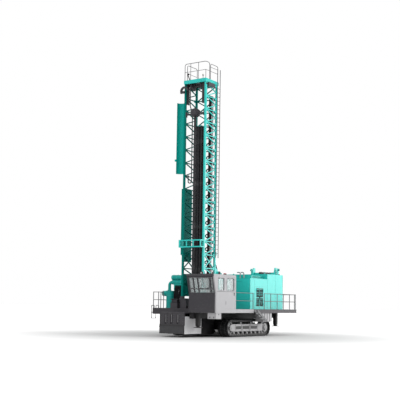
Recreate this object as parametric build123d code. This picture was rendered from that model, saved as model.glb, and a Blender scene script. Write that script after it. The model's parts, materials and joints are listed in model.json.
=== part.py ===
from build123d import *
import math
import os

os.makedirs("parts", exist_ok=True)

# Down-the-hole drill rig on tracks, in millimetres.
# +Z is up, the drill end is -Y and the cab stands on the +X side.
# The ground is Z = 0, and Y = 0 is the middle of the whole length.

# Deck and frame
deck_top = 1900
deck_depth = 260
deck_plate = 60
deck_half_width = 3100
deck_rear = 5535
well_half_width = 1000
beam_depth = 400
beam_width = 300
sill = 80
front_sill_depth = 420
cross_beam = 200
deck_bottom = deck_top - deck_depth
deck_web_top = deck_top - deck_plate
beam_bottom = deck_bottom - beam_depth
beam_outer_x = well_half_width + beam_width

# Drill axis and mast
drill_y = -3865
mast_depth = 1400
mast_clear = 85
mast_seat = 820
foot_gap = 10
mast_length = 14930
chord = 130
lace = 60
lace_width = 66
lace_end = 60
bay_count = 16
web_thick = 14
web_first_bay = 2.5
web_last_bay = 8
web_share = 0.78
chord_half = chord / 2
mast_outer_x = well_half_width - mast_clear
mast_inner_x = mast_outer_x - chord
chord_x = mast_outer_x - chord_half
chord_bottom = deck_top + mast_seat + foot_gap
chord_top = chord_bottom + mast_length
mast_front_y = drill_y
mast_rear_y = drill_y + mast_depth
mast_front_face = mast_front_y - chord_half
mast_rear_face = mast_rear_y + chord_half

# Mast pivot and its frame
pivot_back = 385
pivot_rise = 2450
pivot_pin_r = 60
pivot_eye_r = 120
lug_half = 35
lug_height = 420
a_frame_gap = 6
a_frame_plate = 80
running_gap = 0.4
pivot_y = mast_rear_face + pivot_back
pivot_z = deck_top + pivot_rise
well_rear = pivot_y - 200
far_deck_front = drill_y - 380

# Lift cylinders
lift_x = 560
lift_eye_back = 245
lift_eye_rise = 1350
lift_base_back = 1500
lift_base_rise = 250
lift_barrel_r = 110
lift_rod_r = 65
lift_pin_r = 45
lift_lug_half = 20
fork_length = 260
lift_eye_y = mast_rear_face + lift_eye_back
lift_eye_z = pivot_z + lift_eye_rise
lift_base_y = pivot_y + lift_base_back
lift_base_z = deck_top + lift_base_rise

# Cab
cab_overhang = 40
cab_length = 2460
cab_ahead = 1900
cab_wall = 90
cab_roof = 70
cab_knee = 970
cab_lean = 300
window_sill = 1230
window_head = 2010
door_width = 1130
door_post = 130
door_height = 2100
door_header = 80
door_gap = 6
hinge_gap = 0.8
pane = 12
cab_inner_x = well_half_width
cab_outer_x = deck_half_width + cab_overhang
cab_front = drill_y - cab_ahead
cab_rear = cab_front + cab_length
cab_wall_height = door_height + door_header
cab_wall_top = deck_top + cab_wall_height
cab_top = cab_wall_top + cab_roof
cab_knee_z = deck_top + cab_knee
window_bottom = deck_top + window_sill
window_top = deck_top + window_head
door_rear = cab_rear - door_post
door_front = door_rear - door_width
door_top = deck_top + door_height

# Machinery house
walkway = 800
house_front = -25
house_first_length = 2490
rear_walk = 710
house_wall = 60
house_height = 2120
hood_rise = 280
cooler_rise = 430
house_x = deck_half_width - walkway
house_split = house_front + house_first_length
house_rear = deck_rear - rear_walk
house_wall_top = deck_top + house_height
hood_top = house_wall_top + hood_rise
cooler_top = house_wall_top + cooler_rise
inside_x = house_x - house_wall

# Tracks
track_centre_x = 1985
shoe_width = 750
track_tip_r = 600
track_lug = 45
track_plate_thick = 75
track_front_y = -2565
track_rear_y = 2235
shoe_count = 46
frame_width = 450
frame_cheek = 60
track_inner_x = track_centre_x - shoe_width / 2
track_outer_x = track_centre_x + shoe_width / 2
frame_inner_x = track_centre_x - frame_width / 2
frame_outer_x = track_centre_x + frame_width / 2
frame_top = track_tip_r + 260
frame_bottom = track_tip_r - 180
axle_top = track_tip_r + 350
axle_bottom = track_tip_r - 150

# Dust hood
hood_ahead = 470
hood_panel = 60
hood_cover = 70
hood_bottom = 230
hood_face_bottom = 780
hood_lap = 130
hood_side_run = 2000
rib_depth = 30
rib_half = 35
curtain_thick = 40
curtain_bottom = 160
hood_front = cab_front - hood_ahead
hood_rear = mast_rear_y - 200
hood_split = hood_front + hood_side_run
hood_side_top = beam_bottom + hood_lap
table_front = drill_y - 800

# Levelling jacks
jack_barrel = 260
jack_rod_r = 90
jack_arm_depth = 300
jack_barrel_bottom = 760
jack_pad_bottom = 640
jack_pad_r = 300
jack_pad_thick = 40
jack_cone = 70
front_jack_y = cab_front + 500
rear_jack_y = deck_rear - 1300
rear_jack_x = 2000
jack_half = jack_barrel / 2
front_jack_x = beam_outer_x + jack_half
jack_places = {
    "front_left": (front_jack_x, front_jack_y),
    "front_right": (-front_jack_x, front_jack_y),
    "rear_left": (rear_jack_x, rear_jack_y),
    "rear_right": (-rear_jack_x, rear_jack_y),
}

# Handrails
rail_height = 1130
rail_r = 22
post_r = 26
rail_inset = 40
rail_top = deck_top + rail_height
rail_x = deck_half_width - rail_inset
rail_levels = (deck_top + rail_height / 2, rail_top - rail_r - 8)


def block(x0, x1, y0, y1, z0, z1):
    return Pos((x0 + x1) / 2, (y0 + y1) / 2, (z0 + z1) / 2) * Box(x1 - x0, y1 - y0, z1 - z0)


def rod_x(y, z, r, x0, x1):
    return Pos((x0 + x1) / 2, y, z) * Rot(0, 90, 0) * Cylinder(r, x1 - x0)


def rod_y(x, z, r, y0, y1):
    return Pos(x, (y0 + y1) / 2, z) * Rot(90, 0, 0) * Cylinder(r, y1 - y0)


def rod_z(x, y, r, z0, z1):
    return Pos(x, y, (z0 + z1) / 2) * Cylinder(r, z1 - z0)


def plate_x(outline, x0, x1):
    face = make_face(Polyline(*[(x0, y, z) for y, z in outline], close=True))
    return extrude(face, amount=x1 - x0, dir=(1, 0, 0))


def pipe(points, r, bend):
    path = FilletPolyline(*points, radius=bend)
    start = Plane(origin=points[0], z_dir=Vector(*points[1]) - Vector(*points[0]))
    return sweep(start * Circle(r), path=path)


def join(pieces):
    return pieces[0].fuse(*pieces[1:]).clean()


def mirror_x(shape):
    return mirror(shape, about=Plane.YZ)


def save(node, *shapes):
    solids = [solid for shape in shapes for solid in shape.solids()]
    export_step(Compound(solids), f"parts/{node}.step")


def bar(u0, v0, u1, v1, width):
    length = math.hypot(u1 - u0, v1 - v0)
    angle = math.degrees(math.atan2(v1 - v0, u1 - u0))
    return Pos((u0 + u1) / 2, (v0 + v1) / 2) * Rot(0, 0, angle) * Rectangle(length, width)


# Decks and frame
deck_plates = [
    (-deck_half_width, -well_half_width, far_deck_front),
    (well_half_width, deck_half_width, cab_rear),
    (-well_half_width, well_half_width, well_rear),
]
deck_pieces = [block(x0, x1, y0, deck_rear, deck_web_top, deck_top) for x0, x1, y0 in deck_plates]
sill_runs = [
    (-deck_half_width, -deck_half_width + sill, far_deck_front, deck_rear, deck_bottom),
    (deck_half_width - sill, deck_half_width, cab_rear, deck_rear, deck_bottom),
    (-deck_half_width + sill, deck_half_width - sill, deck_rear - sill, deck_rear, deck_bottom),
    (-deck_half_width, -beam_outer_x, far_deck_front, far_deck_front + sill, deck_top - front_sill_depth),
    (-beam_outer_x, -well_half_width, far_deck_front, deck_rear - sill, deck_bottom),
    (well_half_width, deck_half_width - sill, cab_rear, cab_rear + sill, deck_bottom),
    (well_half_width, beam_outer_x, cab_rear + sill, deck_rear - sill, deck_bottom),
    (-well_half_width, well_half_width, well_rear, well_rear + sill, deck_bottom),
]
for x0, x1, y0, y1, z0 in sill_runs:
    deck_pieces.append(block(x0, x1, y0, y1, z0, deck_web_top))
save("deck", join(deck_pieces))

beam_front = cab_front + 100
beam = block(well_half_width, beam_outer_x, beam_front, deck_rear - sill, beam_bottom, deck_bottom)
cross_beams = []
for cross_y in (well_rear - 50, house_front + 2060, deck_rear - 500):
    cross_beams.append(
        block(-well_half_width, well_half_width, cross_y, cross_y + cross_beam, beam_bottom + 60, deck_bottom)
    )
arm_bottom = deck_bottom - jack_arm_depth
jack_arm = block(
    beam_outer_x,
    rear_jack_x + jack_half,
    rear_jack_y - jack_half,
    rear_jack_y + jack_half,
    arm_bottom,
    deck_bottom,
)
save("main_frame", join([beam, mirror_x(beam), *cross_beams, jack_arm, mirror_x(jack_arm)]))

# Jacks
barrels = []
for place, (jack_x, jack_y) in jack_places.items():
    barrel_top = deck_bottom if place.startswith("front") else arm_bottom
    tube = block(
        jack_x - jack_half,
        jack_x + jack_half,
        jack_y - jack_half,
        jack_y + jack_half,
        jack_barrel_bottom,
        barrel_top,
    )
    bore = rod_z(jack_x, jack_y, jack_rod_r + running_gap, jack_barrel_bottom - 10, barrel_top - 30)
    barrels.append(tube - bore)
    pad_top = jack_pad_bottom + jack_pad_thick
    pad = rod_z(jack_x, jack_y, jack_pad_r, jack_pad_bottom, pad_top)
    foot = Pos(jack_x, jack_y, pad_top + jack_cone / 2) * Cone(jack_pad_r * 0.6, jack_rod_r, jack_cone)
    leg = rod_z(jack_x, jack_y, jack_rod_r, pad_top, barrel_top - 45)
    save(f"jack_leg_{place}", join([leg, foot, pad]))
save("jack_barrels", *barrels)

# Carbody between the tracks
axle_run = 520
axles = []
for axle_y in (track_front_y + 900, track_rear_y - 1100):
    axles.append(block(-frame_inner_x, frame_inner_x, axle_y, axle_y + axle_run, axle_bottom, axle_top))
carbody_x = track_inner_x - 160
carbody = block(-carbody_x, carbody_x, track_front_y + 700, track_rear_y - 380, axle_top, beam_bottom)
save("carbody", join([carbody, *axles]))


# Tracks
def stadium(radius, distance):
    run = track_rear_y - track_front_y
    arc = math.pi * radius
    distance %= 2 * (run + arc)
    if distance < run:
        return track_front_y + distance, radius, 90
    distance -= run
    if distance < arc:
        return track_rear_y, radius, 90 - math.degrees(distance / radius)
    distance -= arc
    if distance < run:
        return track_rear_y - distance, radius, -90
    distance -= run
    return track_front_y, radius, -90 - math.degrees(distance / radius)


def track_point(distance, radius, rise):
    y, r, heading = stadium(radius, distance)
    turn = math.radians(heading)
    reach = r + rise
    return y + reach * math.cos(turn), track_tip_r + reach * math.sin(turn)


plate_r = track_tip_r - track_lug
loop_length = 2 * (track_rear_y - track_front_y + math.pi * plate_r)
shoe_pitch = loop_length / shoe_count
shoe_dip = 14
lug_steps = [
    (0.03, -shoe_dip),
    (0.10, 0),
    (0.42, 0),
    (0.46, track_lug),
    (0.54, track_lug),
    (0.58, 0),
    (0.90, 0),
    (0.97, -shoe_dip),
]
track_outline = []
for shoe in range(shoe_count):
    for share, rise in lug_steps:
        track_outline.append(track_point((shoe + share) * shoe_pitch, plate_r, rise))
inner_r = plate_r - track_plate_thick
loop_hollow = join(
    [
        rod_x(track_front_y, track_tip_r, inner_r, track_inner_x, track_outer_x),
        rod_x(track_rear_y, track_tip_r, inner_r, track_inner_x, track_outer_x),
        block(
            track_inner_x,
            track_outer_x,
            track_front_y,
            track_rear_y,
            track_tip_r - inner_r,
            track_tip_r + inner_r,
        ),
    ]
)
track = plate_x(track_outline, track_inner_x, track_outer_x) - loop_hollow
save("track_left", track)
save("track_right", mirror_x(track))

cheek_reach = 120
cheek_bottom = frame_bottom - 55
cheek_outline = [
    (track_front_y - cheek_reach, track_tip_r - 100),
    (track_front_y + 400, cheek_bottom),
    (track_rear_y - 400, cheek_bottom),
    (track_rear_y + cheek_reach, track_tip_r - 100),
    (track_rear_y + cheek_reach, track_tip_r + 100),
    (track_rear_y - 350, frame_top),
    (track_front_y + 350, frame_top),
    (track_front_y - cheek_reach, track_tip_r + 100),
]
wheel_x0 = frame_inner_x + frame_cheek
wheel_x1 = frame_outer_x - frame_cheek
frame_core = block(wheel_x0, wheel_x1, track_front_y + 560, track_rear_y - 560, frame_bottom, frame_top)
frame_pieces = [
    plate_x(cheek_outline, frame_inner_x, wheel_x0),
    plate_x(cheek_outline, wheel_x1, frame_outer_x),
    frame_core,
]
drive_cover_r = 300
frame_pieces.append(rod_x(track_rear_y, track_tip_r, drive_cover_r, frame_outer_x, frame_outer_x + 40))
track_frame = join(frame_pieces)
save("track_frames", track_frame, mirror_x(track_frame))

end_wheel_r = inner_r - running_gap
rim = 70
wheels = []
for wheel_y in (track_front_y, track_rear_y):
    wheel = rod_x(wheel_y, track_tip_r, end_wheel_r, wheel_x0, wheel_x1)
    recess = rod_x(wheel_y, track_tip_r, end_wheel_r - rim, wheel_x1 - 60, wheel_x1)
    hub = rod_x(wheel_y, track_tip_r, end_wheel_r * 0.45, wheel_x1 - 60, wheel_x1)
    wheels.append(wheel - (recess - hub))
roller_r = 125
roller_count = 7
roller_inset = 650
roller_z = track_tip_r - inner_r + roller_r + running_gap
roller_span = track_rear_y - track_front_y - 2 * roller_inset
for number in range(roller_count):
    roller_y = track_front_y + roller_inset + roller_span * number / (roller_count - 1)
    wheels.append(rod_x(roller_y, roller_z, roller_r, wheel_x0, wheel_x1))
hub_sizes = [
    (track_front_y, 130, frame_outer_x, 90),
    (track_rear_y, 210, frame_outer_x + 40, 60),
]
for hub_y, hub_r, hub_x, hub_run in hub_sizes:
    wheels.append(rod_x(hub_y, track_tip_r, hub_r, hub_x, hub_x + hub_run))
carrier_half = 85
carrier_r = (track_tip_r + inner_r - frame_top - running_gap) / 2
for carrier_y in (track_front_y + 1700, track_rear_y - 1700):
    carrier_x0 = track_centre_x - carrier_half
    wheels.append(rod_x(carrier_y, frame_top + carrier_r, carrier_r, carrier_x0, carrier_x0 + 2 * carrier_half))
save("track_wheels", *wheels, *[mirror_x(wheel) for wheel in wheels])

# Drill table
table_hole_r = 170
bushing_r = 300
bushing_height = 160
table = block(-well_half_width, well_half_width, table_front, well_rear, deck_bottom, deck_top)
bushing = rod_z(0, drill_y, bushing_r, deck_top, deck_top + bushing_height)
table_hole = rod_z(0, drill_y, table_hole_r, deck_bottom - 10, deck_top + bushing_height + 10)
seat_half = 120
seat_x0 = mast_outer_x + 55 - 2 * seat_half
seats = []
for seat_y in (mast_front_y, mast_rear_y):
    seat = block(
        seat_x0,
        seat_x0 + 2 * seat_half,
        seat_y - seat_half,
        seat_y + seat_half,
        deck_top,
        chord_bottom - foot_gap,
    )
    seats += [seat, mirror_x(seat)]
save("drill_table", join([table, bushing, *seats]) - table_hole)

# Dust hood
cover_bottom = deck_bottom - hood_cover
save("hood_top", block(-well_half_width, well_half_width, hood_front, table_front, cover_bottom, deck_bottom))
hood_side = block(
    well_half_width - hood_panel,
    well_half_width,
    hood_front + hood_panel,
    hood_split,
    hood_bottom,
    hood_side_top,
)
save("hood_sides", hood_side, mirror_x(hood_side))
hood_face = block(
    -well_half_width, well_half_width, hood_front, hood_front + hood_panel, hood_face_bottom, cover_bottom
)
hood_pieces = [hood_face]
rib_shares = (-0.95, -0.43, 0.02, 0.54, 0.95)
for rib_share in rib_shares:
    rib_x0 = rib_share * well_half_width - rib_half
    hood_pieces.append(
        block(rib_x0, rib_x0 + 2 * rib_half, hood_front - rib_depth, hood_front, hood_face_bottom, cover_bottom)
    )
save("hood_front", join(hood_pieces))
curtain_y1 = hood_front - rib_depth - running_gap
curtain_x = well_half_width - 30
save(
    "front_curtain",
    block(-curtain_x, curtain_x, curtain_y1 - curtain_thick, curtain_y1, hood_bottom, hood_face_bottom + 50),
)
rear_curtain_y = hood_rear - curtain_thick
side_curtain_outline = [
    (hood_split, curtain_bottom),
    (rear_curtain_y, curtain_bottom),
    (rear_curtain_y, hood_side_top),
    (hood_split + 160, hood_side_top),
    (hood_split + 50, hood_side_top - 60),
    (hood_split, hood_side_top - 190),
]
side_curtain = plate_x(side_curtain_outline, well_half_width - curtain_thick, well_half_width)
rear_curtain = block(
    -well_half_width, well_half_width, rear_curtain_y, hood_rear, curtain_bottom, beam_bottom + 60
)
save("dust_curtains", side_curtain, mirror_x(side_curtain), rear_curtain)

# Mast trusses
lace_bottom = chord_bottom + lace_end
lace_top = chord_top - lace_end
bay = (lace_top - lace_bottom) / bay_count


def truss(u0, u1, crossed):
    bars = []
    for level in range(bay_count + 1):
        v = lace_bottom + level * bay
        bars.append(bar(u0, v, u1, v, lace_width))
    for level in range(bay_count):
        v0 = lace_bottom + level * bay
        v1 = v0 + bay
        if crossed or level == 2:
            bars.append(bar(u0, v0, u1, v1, lace_width))
            bars.append(bar(u1, v0, u0, v1, lace_width))
        else:
            bars.append(bar(u0, v0, u1, v0 + bay / 2, lace_width))
            bars.append(bar(u1, v0 + bay / 2, u0, v1, lace_width))
    web = Sketch() + bars
    middle = Pos((u0 + u1) / 2, (chord_bottom + chord_top) / 2)
    return web & (middle * Rectangle(u1 - u0, chord_top - chord_bottom))


side_u0 = mast_front_y + chord_half
side_u1 = mast_rear_y - chord_half
side_plane = Plane(origin=(chord_x - lace / 2, 0, 0), x_dir=(0, 1, 0), z_dir=(1, 0, 0))
side_web = extrude(side_plane * truss(side_u0, side_u1, False), amount=lace, dir=(1, 0, 0))
mast_pieces = [side_web]
for chord_y in (mast_front_y, mast_rear_y):
    mast_pieces.append(
        block(mast_inner_x, mast_outer_x, chord_y - chord_half, chord_y + chord_half, chord_bottom, chord_top)
    )
pivot_lug_outline = [
    (mast_rear_face, pivot_z - lug_height),
    (pivot_y + pivot_eye_r, pivot_z - 60),
    (pivot_y + pivot_eye_r, pivot_z + 60),
    (mast_rear_face, pivot_z + lug_height),
]
pivot_lug = plate_x(pivot_lug_outline, chord_x - lug_half, chord_x + lug_half)
pivot_lug = pivot_lug - rod_x(pivot_y, pivot_z, pivot_pin_r + running_gap, mast_inner_x, mast_outer_x)
mast_side = join([*mast_pieces, pivot_lug])
save("mast_side_left", mast_side)
web_z0 = lace_bottom + web_first_bay * bay
web_z1 = lace_bottom + web_last_bay * bay
web_y1 = side_u0 + web_share * (side_u1 - side_u0)
web_plate = block(-chord_x - lace / 2 - web_thick, -chord_x - lace / 2, side_u0, web_y1, web_z0, web_z1)
channel_x = mast_outer_x + 110
channel = block(-channel_x, -mast_outer_x, mast_front_y - 50, mast_front_y + 50, web_z0 + 0.5 * bay, web_z1)
foot_web_bays = 1.6
foot_web = block(
    -chord_x - lace / 2 - web_thick,
    -chord_x - lace / 2,
    side_u0,
    side_u1,
    chord_bottom,
    lace_bottom + foot_web_bays * bay,
)
save("mast_side_right", join([mirror_x(mast_side), web_plate, foot_web, channel]))

rear_plane = Plane(origin=(0, mast_rear_y + lace / 2, 0), x_dir=(1, 0, 0), z_dir=(0, -1, 0))
save(
    "mast_rear_lacing",
    extrude(rear_plane * truss(-mast_inner_x, mast_inner_x, True), amount=lace, dir=(0, -1, 0)),
)

# Lift cylinder beam and lugs on the mast
lift_beam = 100
lift_beam_half = 130
lift_beam_y1 = mast_rear_face + lift_beam
lift_beam_z0 = lift_eye_z - lift_beam_half
lift_beam_z1 = lift_eye_z + lift_beam_half
lift_beam_bar = block(-mast_outer_x, mast_outer_x, mast_rear_face, lift_beam_y1, lift_beam_z0, lift_beam_z1)
lift_lug_outline = [
    (lift_beam_y1, lift_eye_z - 120),
    (lift_eye_y + 90, lift_eye_z - 70),
    (lift_eye_y + 90, lift_eye_z + 70),
    (lift_beam_y1, lift_eye_z + 120),
]
lift_lug = plate_x(lift_lug_outline, lift_x - lift_lug_half, lift_x + lift_lug_half)
lift_tie = join([lift_beam_bar, lift_lug, mirror_x(lift_lug)])

# Crown
crown_height = 250
crown_beam = 150
crown_plate = 40
crown_top = chord_top + crown_height
crown_half_x = mast_outer_x + 20
crown_y0 = mast_front_face - 60
crown_y1 = mast_rear_face + 60
crown_frame = block(-crown_half_x, crown_half_x, crown_y0, crown_y1, chord_top, crown_top)
crown_hollow = block(
    -crown_half_x + crown_beam,
    crown_half_x - crown_beam,
    crown_y0 + crown_beam,
    crown_y1 - crown_beam,
    chord_top - 10,
    crown_top - crown_plate,
)
save("crown", crown_frame - crown_hollow)
sheave_r = 330
sheave_thick = 90
sheave_x = 380
sheave_z = chord_top - 140
sheave_y = drill_y + sheave_r
groove_r = 28
hanger = 50
sheave_pieces = [rod_x(sheave_y, sheave_z, 70, -sheave_x, sheave_x)]
for side in (-1, 1):
    x0 = min(side * sheave_x, side * (sheave_x + sheave_thick))
    disc = rod_x(sheave_y, sheave_z, sheave_r, x0, x0 + sheave_thick)
    groove_place = Pos(x0 + sheave_thick / 2, sheave_y, sheave_z) * Rot(0, 90, 0)
    sheave_pieces.append(disc - groove_place * Torus(sheave_r, groove_r))
    hanger_x = min(side * sheave_x, side * (sheave_x - hanger))
    hanger_z0 = sheave_z - 120
    sheave_pieces.append(
        block(hanger_x, hanger_x + hanger, sheave_y - 80, sheave_y + 80, hanger_z0, crown_top - crown_plate)
    )
crown_sheaves = join(sheave_pieces)
winch_x = mast_outer_x + 8
winch_y = crown_y0 + 280
winch_case = block(winch_x, winch_x + 77, winch_y, winch_y + 780, chord_top - 270, chord_top)
winch_foot = block(mast_outer_x, winch_x, mast_front_y - 60, winch_y + 20, chord_top - 200, chord_top - 80)
winch_box = join([winch_case, winch_foot])

# Hose guide arch and the hanging hoses
guide_r = 330
guide_band = 100
guide_drop = 510
guide_x = -mast_outer_x + 60
guide_z = chord_top - guide_drop
guide_arc = Circle(guide_r) - Circle(guide_r - guide_band)
guide_half = guide_arc & (Pos(0, guide_r / 2) * Rectangle(2 * guide_r, guide_r))
guide_plane = Plane(origin=(guide_x, mast_front_face, guide_z), x_dir=(1, 0, 0), z_dir=(0, -1, 0))
guide = extrude(guide_plane * guide_half, amount=160, dir=(0, -1, 0))
guide_foot = block(
    guide_x - guide_r, guide_x, mast_front_face - 150, mast_front_face, guide_z - 150, guide_z
)
hose_r = 36
hose_bend = 120
hose_x = 0.57 * mast_inner_x
hose_y = drill_y + 300
hose_clamp_z = lace_bottom + 9 * bay
hose_out_x = mast_inner_x - 60
hose_points = [
    (-hose_x - 150, hose_y - 80, crown_top - crown_plate),
    (-hose_x - 150, hose_y - 80, chord_top - 1500),
    (-hose_x, hose_y, chord_top - 2200),
    (-hose_x, hose_y, hose_clamp_z - 500),
    (-hose_out_x, hose_y, hose_clamp_z - 500),
    (-hose_out_x, hose_y, hose_clamp_z + 60),
]
hose = pipe(hose_points, hose_r, hose_bend)
hose_clamp = block(
    -chord_x + lace / 2, -hose_out_x, hose_y - hose_r, hose_y + hose_r, hose_clamp_z - 30, hose_clamp_z + 30
)
save("crown_sheaves_and_hoses", crown_sheaves, winch_box, join([guide, guide_foot]), join([hose, hose_clamp]))

# Rails on the crown
crown_rail = 1200
mid_rail_r = 16
mid_post_r = 19
rail_edge = 50
loop_bend = 160
crown_rail_top = crown_top + crown_rail
edge_x = crown_half_x - rail_edge
front_edge = crown_y0 + rail_edge
rear_edge = crown_y1 - rail_edge
side_gate = front_edge + 480
front_loop = [
    (-edge_x, front_edge, crown_top),
    (-edge_x, front_edge, crown_rail_top),
    (edge_x, front_edge, crown_rail_top),
    (edge_x, side_gate, crown_rail_top),
    (edge_x, side_gate, crown_top),
]
side_loop = [
    (edge_x, side_gate + 110, crown_top),
    (edge_x, side_gate + 110, crown_rail_top - 60),
    (edge_x, rear_edge, crown_rail_top - 60),
    (edge_x, rear_edge, crown_top),
]
far_loop = [
    (-edge_x, front_edge + 300, crown_top),
    (-edge_x, front_edge + 300, crown_rail_top),
    (-edge_x, rear_edge, crown_rail_top),
    (-edge_x, rear_edge, crown_top),
]
middle_rail = crown_top + crown_rail / 2
rail_loops = [
    [
        pipe(front_loop, rail_r, loop_bend),
        rod_x(front_edge, middle_rail, mid_rail_r, -edge_x, edge_x),
        rod_y(edge_x, middle_rail, mid_rail_r, front_edge, side_gate),
        rod_z(-0.45 * edge_x, front_edge, mid_post_r, crown_top, crown_rail_top),
        rod_z(0.3 * edge_x, front_edge, mid_post_r, crown_top, crown_rail_top),
        rod_z(edge_x, front_edge, mid_post_r, crown_top, middle_rail + mid_post_r),
    ],
    [
        pipe(side_loop, rail_r, loop_bend),
        rod_y(edge_x, middle_rail, mid_rail_r, side_gate + 110, rear_edge),
        rod_y(edge_x, (middle_rail + crown_rail_top) / 2, mid_rail_r, side_gate + 110, rear_edge),
    ],
    [
        pipe(far_loop, rail_r, loop_bend),
        rod_y(-edge_x, middle_rail, mid_rail_r, front_edge + 300, rear_edge),
    ],
]
crown_rails = [join(pieces) for pieces in rail_loops]

# Ladder beside the mast's rear chord
ladder_x = mast_outer_x + 130
ladder_bottom = chord_bottom + 2670
ladder_rail_r = 26
ladder_rails = (mast_rear_y - 190, mast_rear_y + 150)
ladder_top = crown_top + 900
ladder_pieces = [rod_z(ladder_x, rail_y, ladder_rail_r, ladder_bottom, ladder_top) for rail_y in ladder_rails]
rung_gap = 300
rung_count = int((crown_top - ladder_bottom) / rung_gap)
stay_every = 8
for rung in range(1, rung_count):
    rung_z = ladder_bottom + rung * rung_gap
    ladder_pieces.append(rod_y(ladder_x, rung_z, 16, ladder_rails[0], ladder_rails[1]))
    if rung % stay_every == 1:
        ladder_pieces.append(rod_x(mast_rear_y, rung_z, 14, mast_outer_x, ladder_x))
save("mast_ladder_and_rails", join(ladder_pieces), *crown_rails)

# Front tie
tie_reach = 400
tie_bar = 70
tie_height = 80
tie_rise = 3320
tie_gap = 450
tie_y0 = mast_front_face - tie_reach
tie_z0 = chord_bottom + tie_rise
tie_z1 = tie_z0 + tie_gap
tie_pieces = []
for tie_z in (tie_z0, tie_z1):
    tie_pieces.append(block(-mast_outer_x, mast_outer_x, tie_y0, tie_y0 + tie_bar, tie_z, tie_z + tie_height))
    tie_pieces.append(
        block(mast_inner_x, mast_outer_x, tie_y0, mast_front_face, tie_z, tie_z + tie_height)
    )
tie_pieces.append(
    block(-mast_outer_x, -mast_inner_x, tie_y0, mast_front_face, tie_z0, tie_z1 + tie_height)
)
tie_pieces.append(
    block(mast_outer_x - tie_bar, mast_outer_x, tie_y0, tie_y0 + tie_bar, tie_z0, tie_z1 + tie_height)
)
for upright_share in (-0.3, 0.3):
    upright_x = upright_share * mast_outer_x
    tie_pieces.append(
        block(upright_x - 35, upright_x + 35, tie_y0, tie_y0 + tie_bar, tie_z0 + tie_height, tie_z1)
    )
front_tie = join(tie_pieces)

# Hose guard
guard_r = 330
guard_wall = 14
guard_rise = 8570
guard_length = 5100
guard_bottom = chord_bottom + guard_rise
guard_x = -mast_outer_x - guard_r
guard_ring = Circle(guard_r) - Circle(guard_r - guard_wall)
guard_half = guard_ring & (Pos(0, guard_r / 2) * Rectangle(2 * guard_r, guard_r))
guard_pieces = [
    extrude(Pos(guard_x, mast_front_y, guard_bottom) * guard_half, amount=guard_length, dir=(0, 0, 1))
]
for arm_share in (0.1, 0.49, 0.88):
    arm_z = guard_bottom + arm_share * guard_length
    guard_pieces.append(
        block(-mast_outer_x - 60, -mast_outer_x, mast_front_y + 5, mast_front_y + 45, arm_z, arm_z + 120)
    )
guard_lamp_x = guard_x - guard_r
guard_pieces.append(
    block(
        guard_lamp_x - 140,
        guard_lamp_x + 10,
        mast_front_y + 10,
        mast_front_y + 110,
        guard_bottom + 900,
        guard_bottom + 1040,
    )
)
save("hose_guard", join(guard_pieces))

# Rotary head
head_below_top = 2410
head_height = 520
drum_r = 330
drum_neck = 90
shoe_run = 70
head_bottom = chord_top - head_below_top
carriage_x = mast_inner_x - running_gap
carriage = block(-carriage_x, carriage_x, drill_y - 60, drill_y + 60, head_bottom + 150, head_bottom + 250)
guide_shoes = []
for shoe_x in (-carriage_x, carriage_x - shoe_run):
    guide_shoes.append(
        block(shoe_x, shoe_x + shoe_run, drill_y - 70, drill_y + 70, head_bottom + 20, head_bottom + 380)
    )
drum = rod_z(0, drill_y, drum_r, head_bottom + 110, head_bottom + head_height - drum_neck)
drum_foot = Pos(0, drill_y, head_bottom + 55) * Cone(drum_r * 0.72, drum_r, 110)
drum_cap = Pos(0, drill_y, head_bottom + head_height - drum_neck / 2) * Cone(drum_r, drum_r * 0.7, drum_neck)
drum_ring = rod_z(0, drill_y, drum_r + 18, head_bottom + 360, head_bottom + 400)
swivel = rod_z(0, drill_y, 70, head_bottom + head_height, head_bottom + head_height + 130)
string_r = 89
spindle_bore = rod_z(0, drill_y, string_r + running_gap, head_bottom - 10, head_bottom + 300)
save("rotary_head", join([carriage, *guide_shoes, drum, drum_foot, drum_cap, drum_ring, swivel]) - spindle_bore)

# Drill string
hammer_r = 102
bit_r = 125
string_bottom = deck_top + 430
bit_top = string_bottom + 230
hammer_top = bit_top + 1440
string_pieces = [
    rod_z(0, drill_y, string_r, hammer_top, head_bottom + 280),
    rod_z(0, drill_y, hammer_r, bit_top, hammer_top),
    rod_z(0, drill_y, bit_r, string_bottom, bit_top),
]
save("drill_string", join(string_pieces))

# Rod carousel
carousel_r = 330
carousel_below_head = 620
carousel_y = drill_y + drum_r + carousel_r + 60
carousel_bottom = chord_bottom + 670
carousel_top = head_bottom - carousel_below_head
carousel_plate = 40
rod_ring_r = 240
rod_count = 8
stored_rod_r = string_r
carousel_shaft_r = 80
shaft_reach = 120
carousel_pieces = [
    rod_z(0, carousel_y, carousel_r, carousel_bottom, carousel_bottom + carousel_plate),
    rod_z(0, carousel_y, carousel_r, carousel_top - carousel_plate, carousel_top),
    rod_z(0, carousel_y, carousel_shaft_r, carousel_bottom - shaft_reach, carousel_top + shaft_reach),
]
for number in range(rod_count):
    turn = math.radians(360 * number / rod_count)
    carousel_pieces.append(
        rod_z(
            rod_ring_r * math.cos(turn),
            carousel_y + rod_ring_r * math.sin(turn),
            stored_rod_r,
            carousel_bottom + carousel_plate,
            carousel_top - carousel_plate,
        )
    )
save("rod_carousel", join(carousel_pieces))
bracket_thick = 60
bracket_half = 140
lacing_face = mast_rear_y - lace / 2
brackets = []
for bracket_z in (carousel_bottom - 100, carousel_top + 40):
    bracket_top = bracket_z + bracket_thick
    arm = block(-bracket_half, bracket_half, carousel_y - bracket_half, lacing_face, bracket_z, bracket_top)
    cross = block(-mast_inner_x, mast_inner_x, lacing_face - 90, lacing_face, bracket_z, bracket_top)
    shaft_bore = rod_z(0, carousel_y, carousel_shaft_r + running_gap, bracket_z - 10, bracket_top + 10)
    brackets.append(join([arm, cross]) - shaft_bore)
save("mast_ties", lift_tie, front_tie, *brackets)

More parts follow.
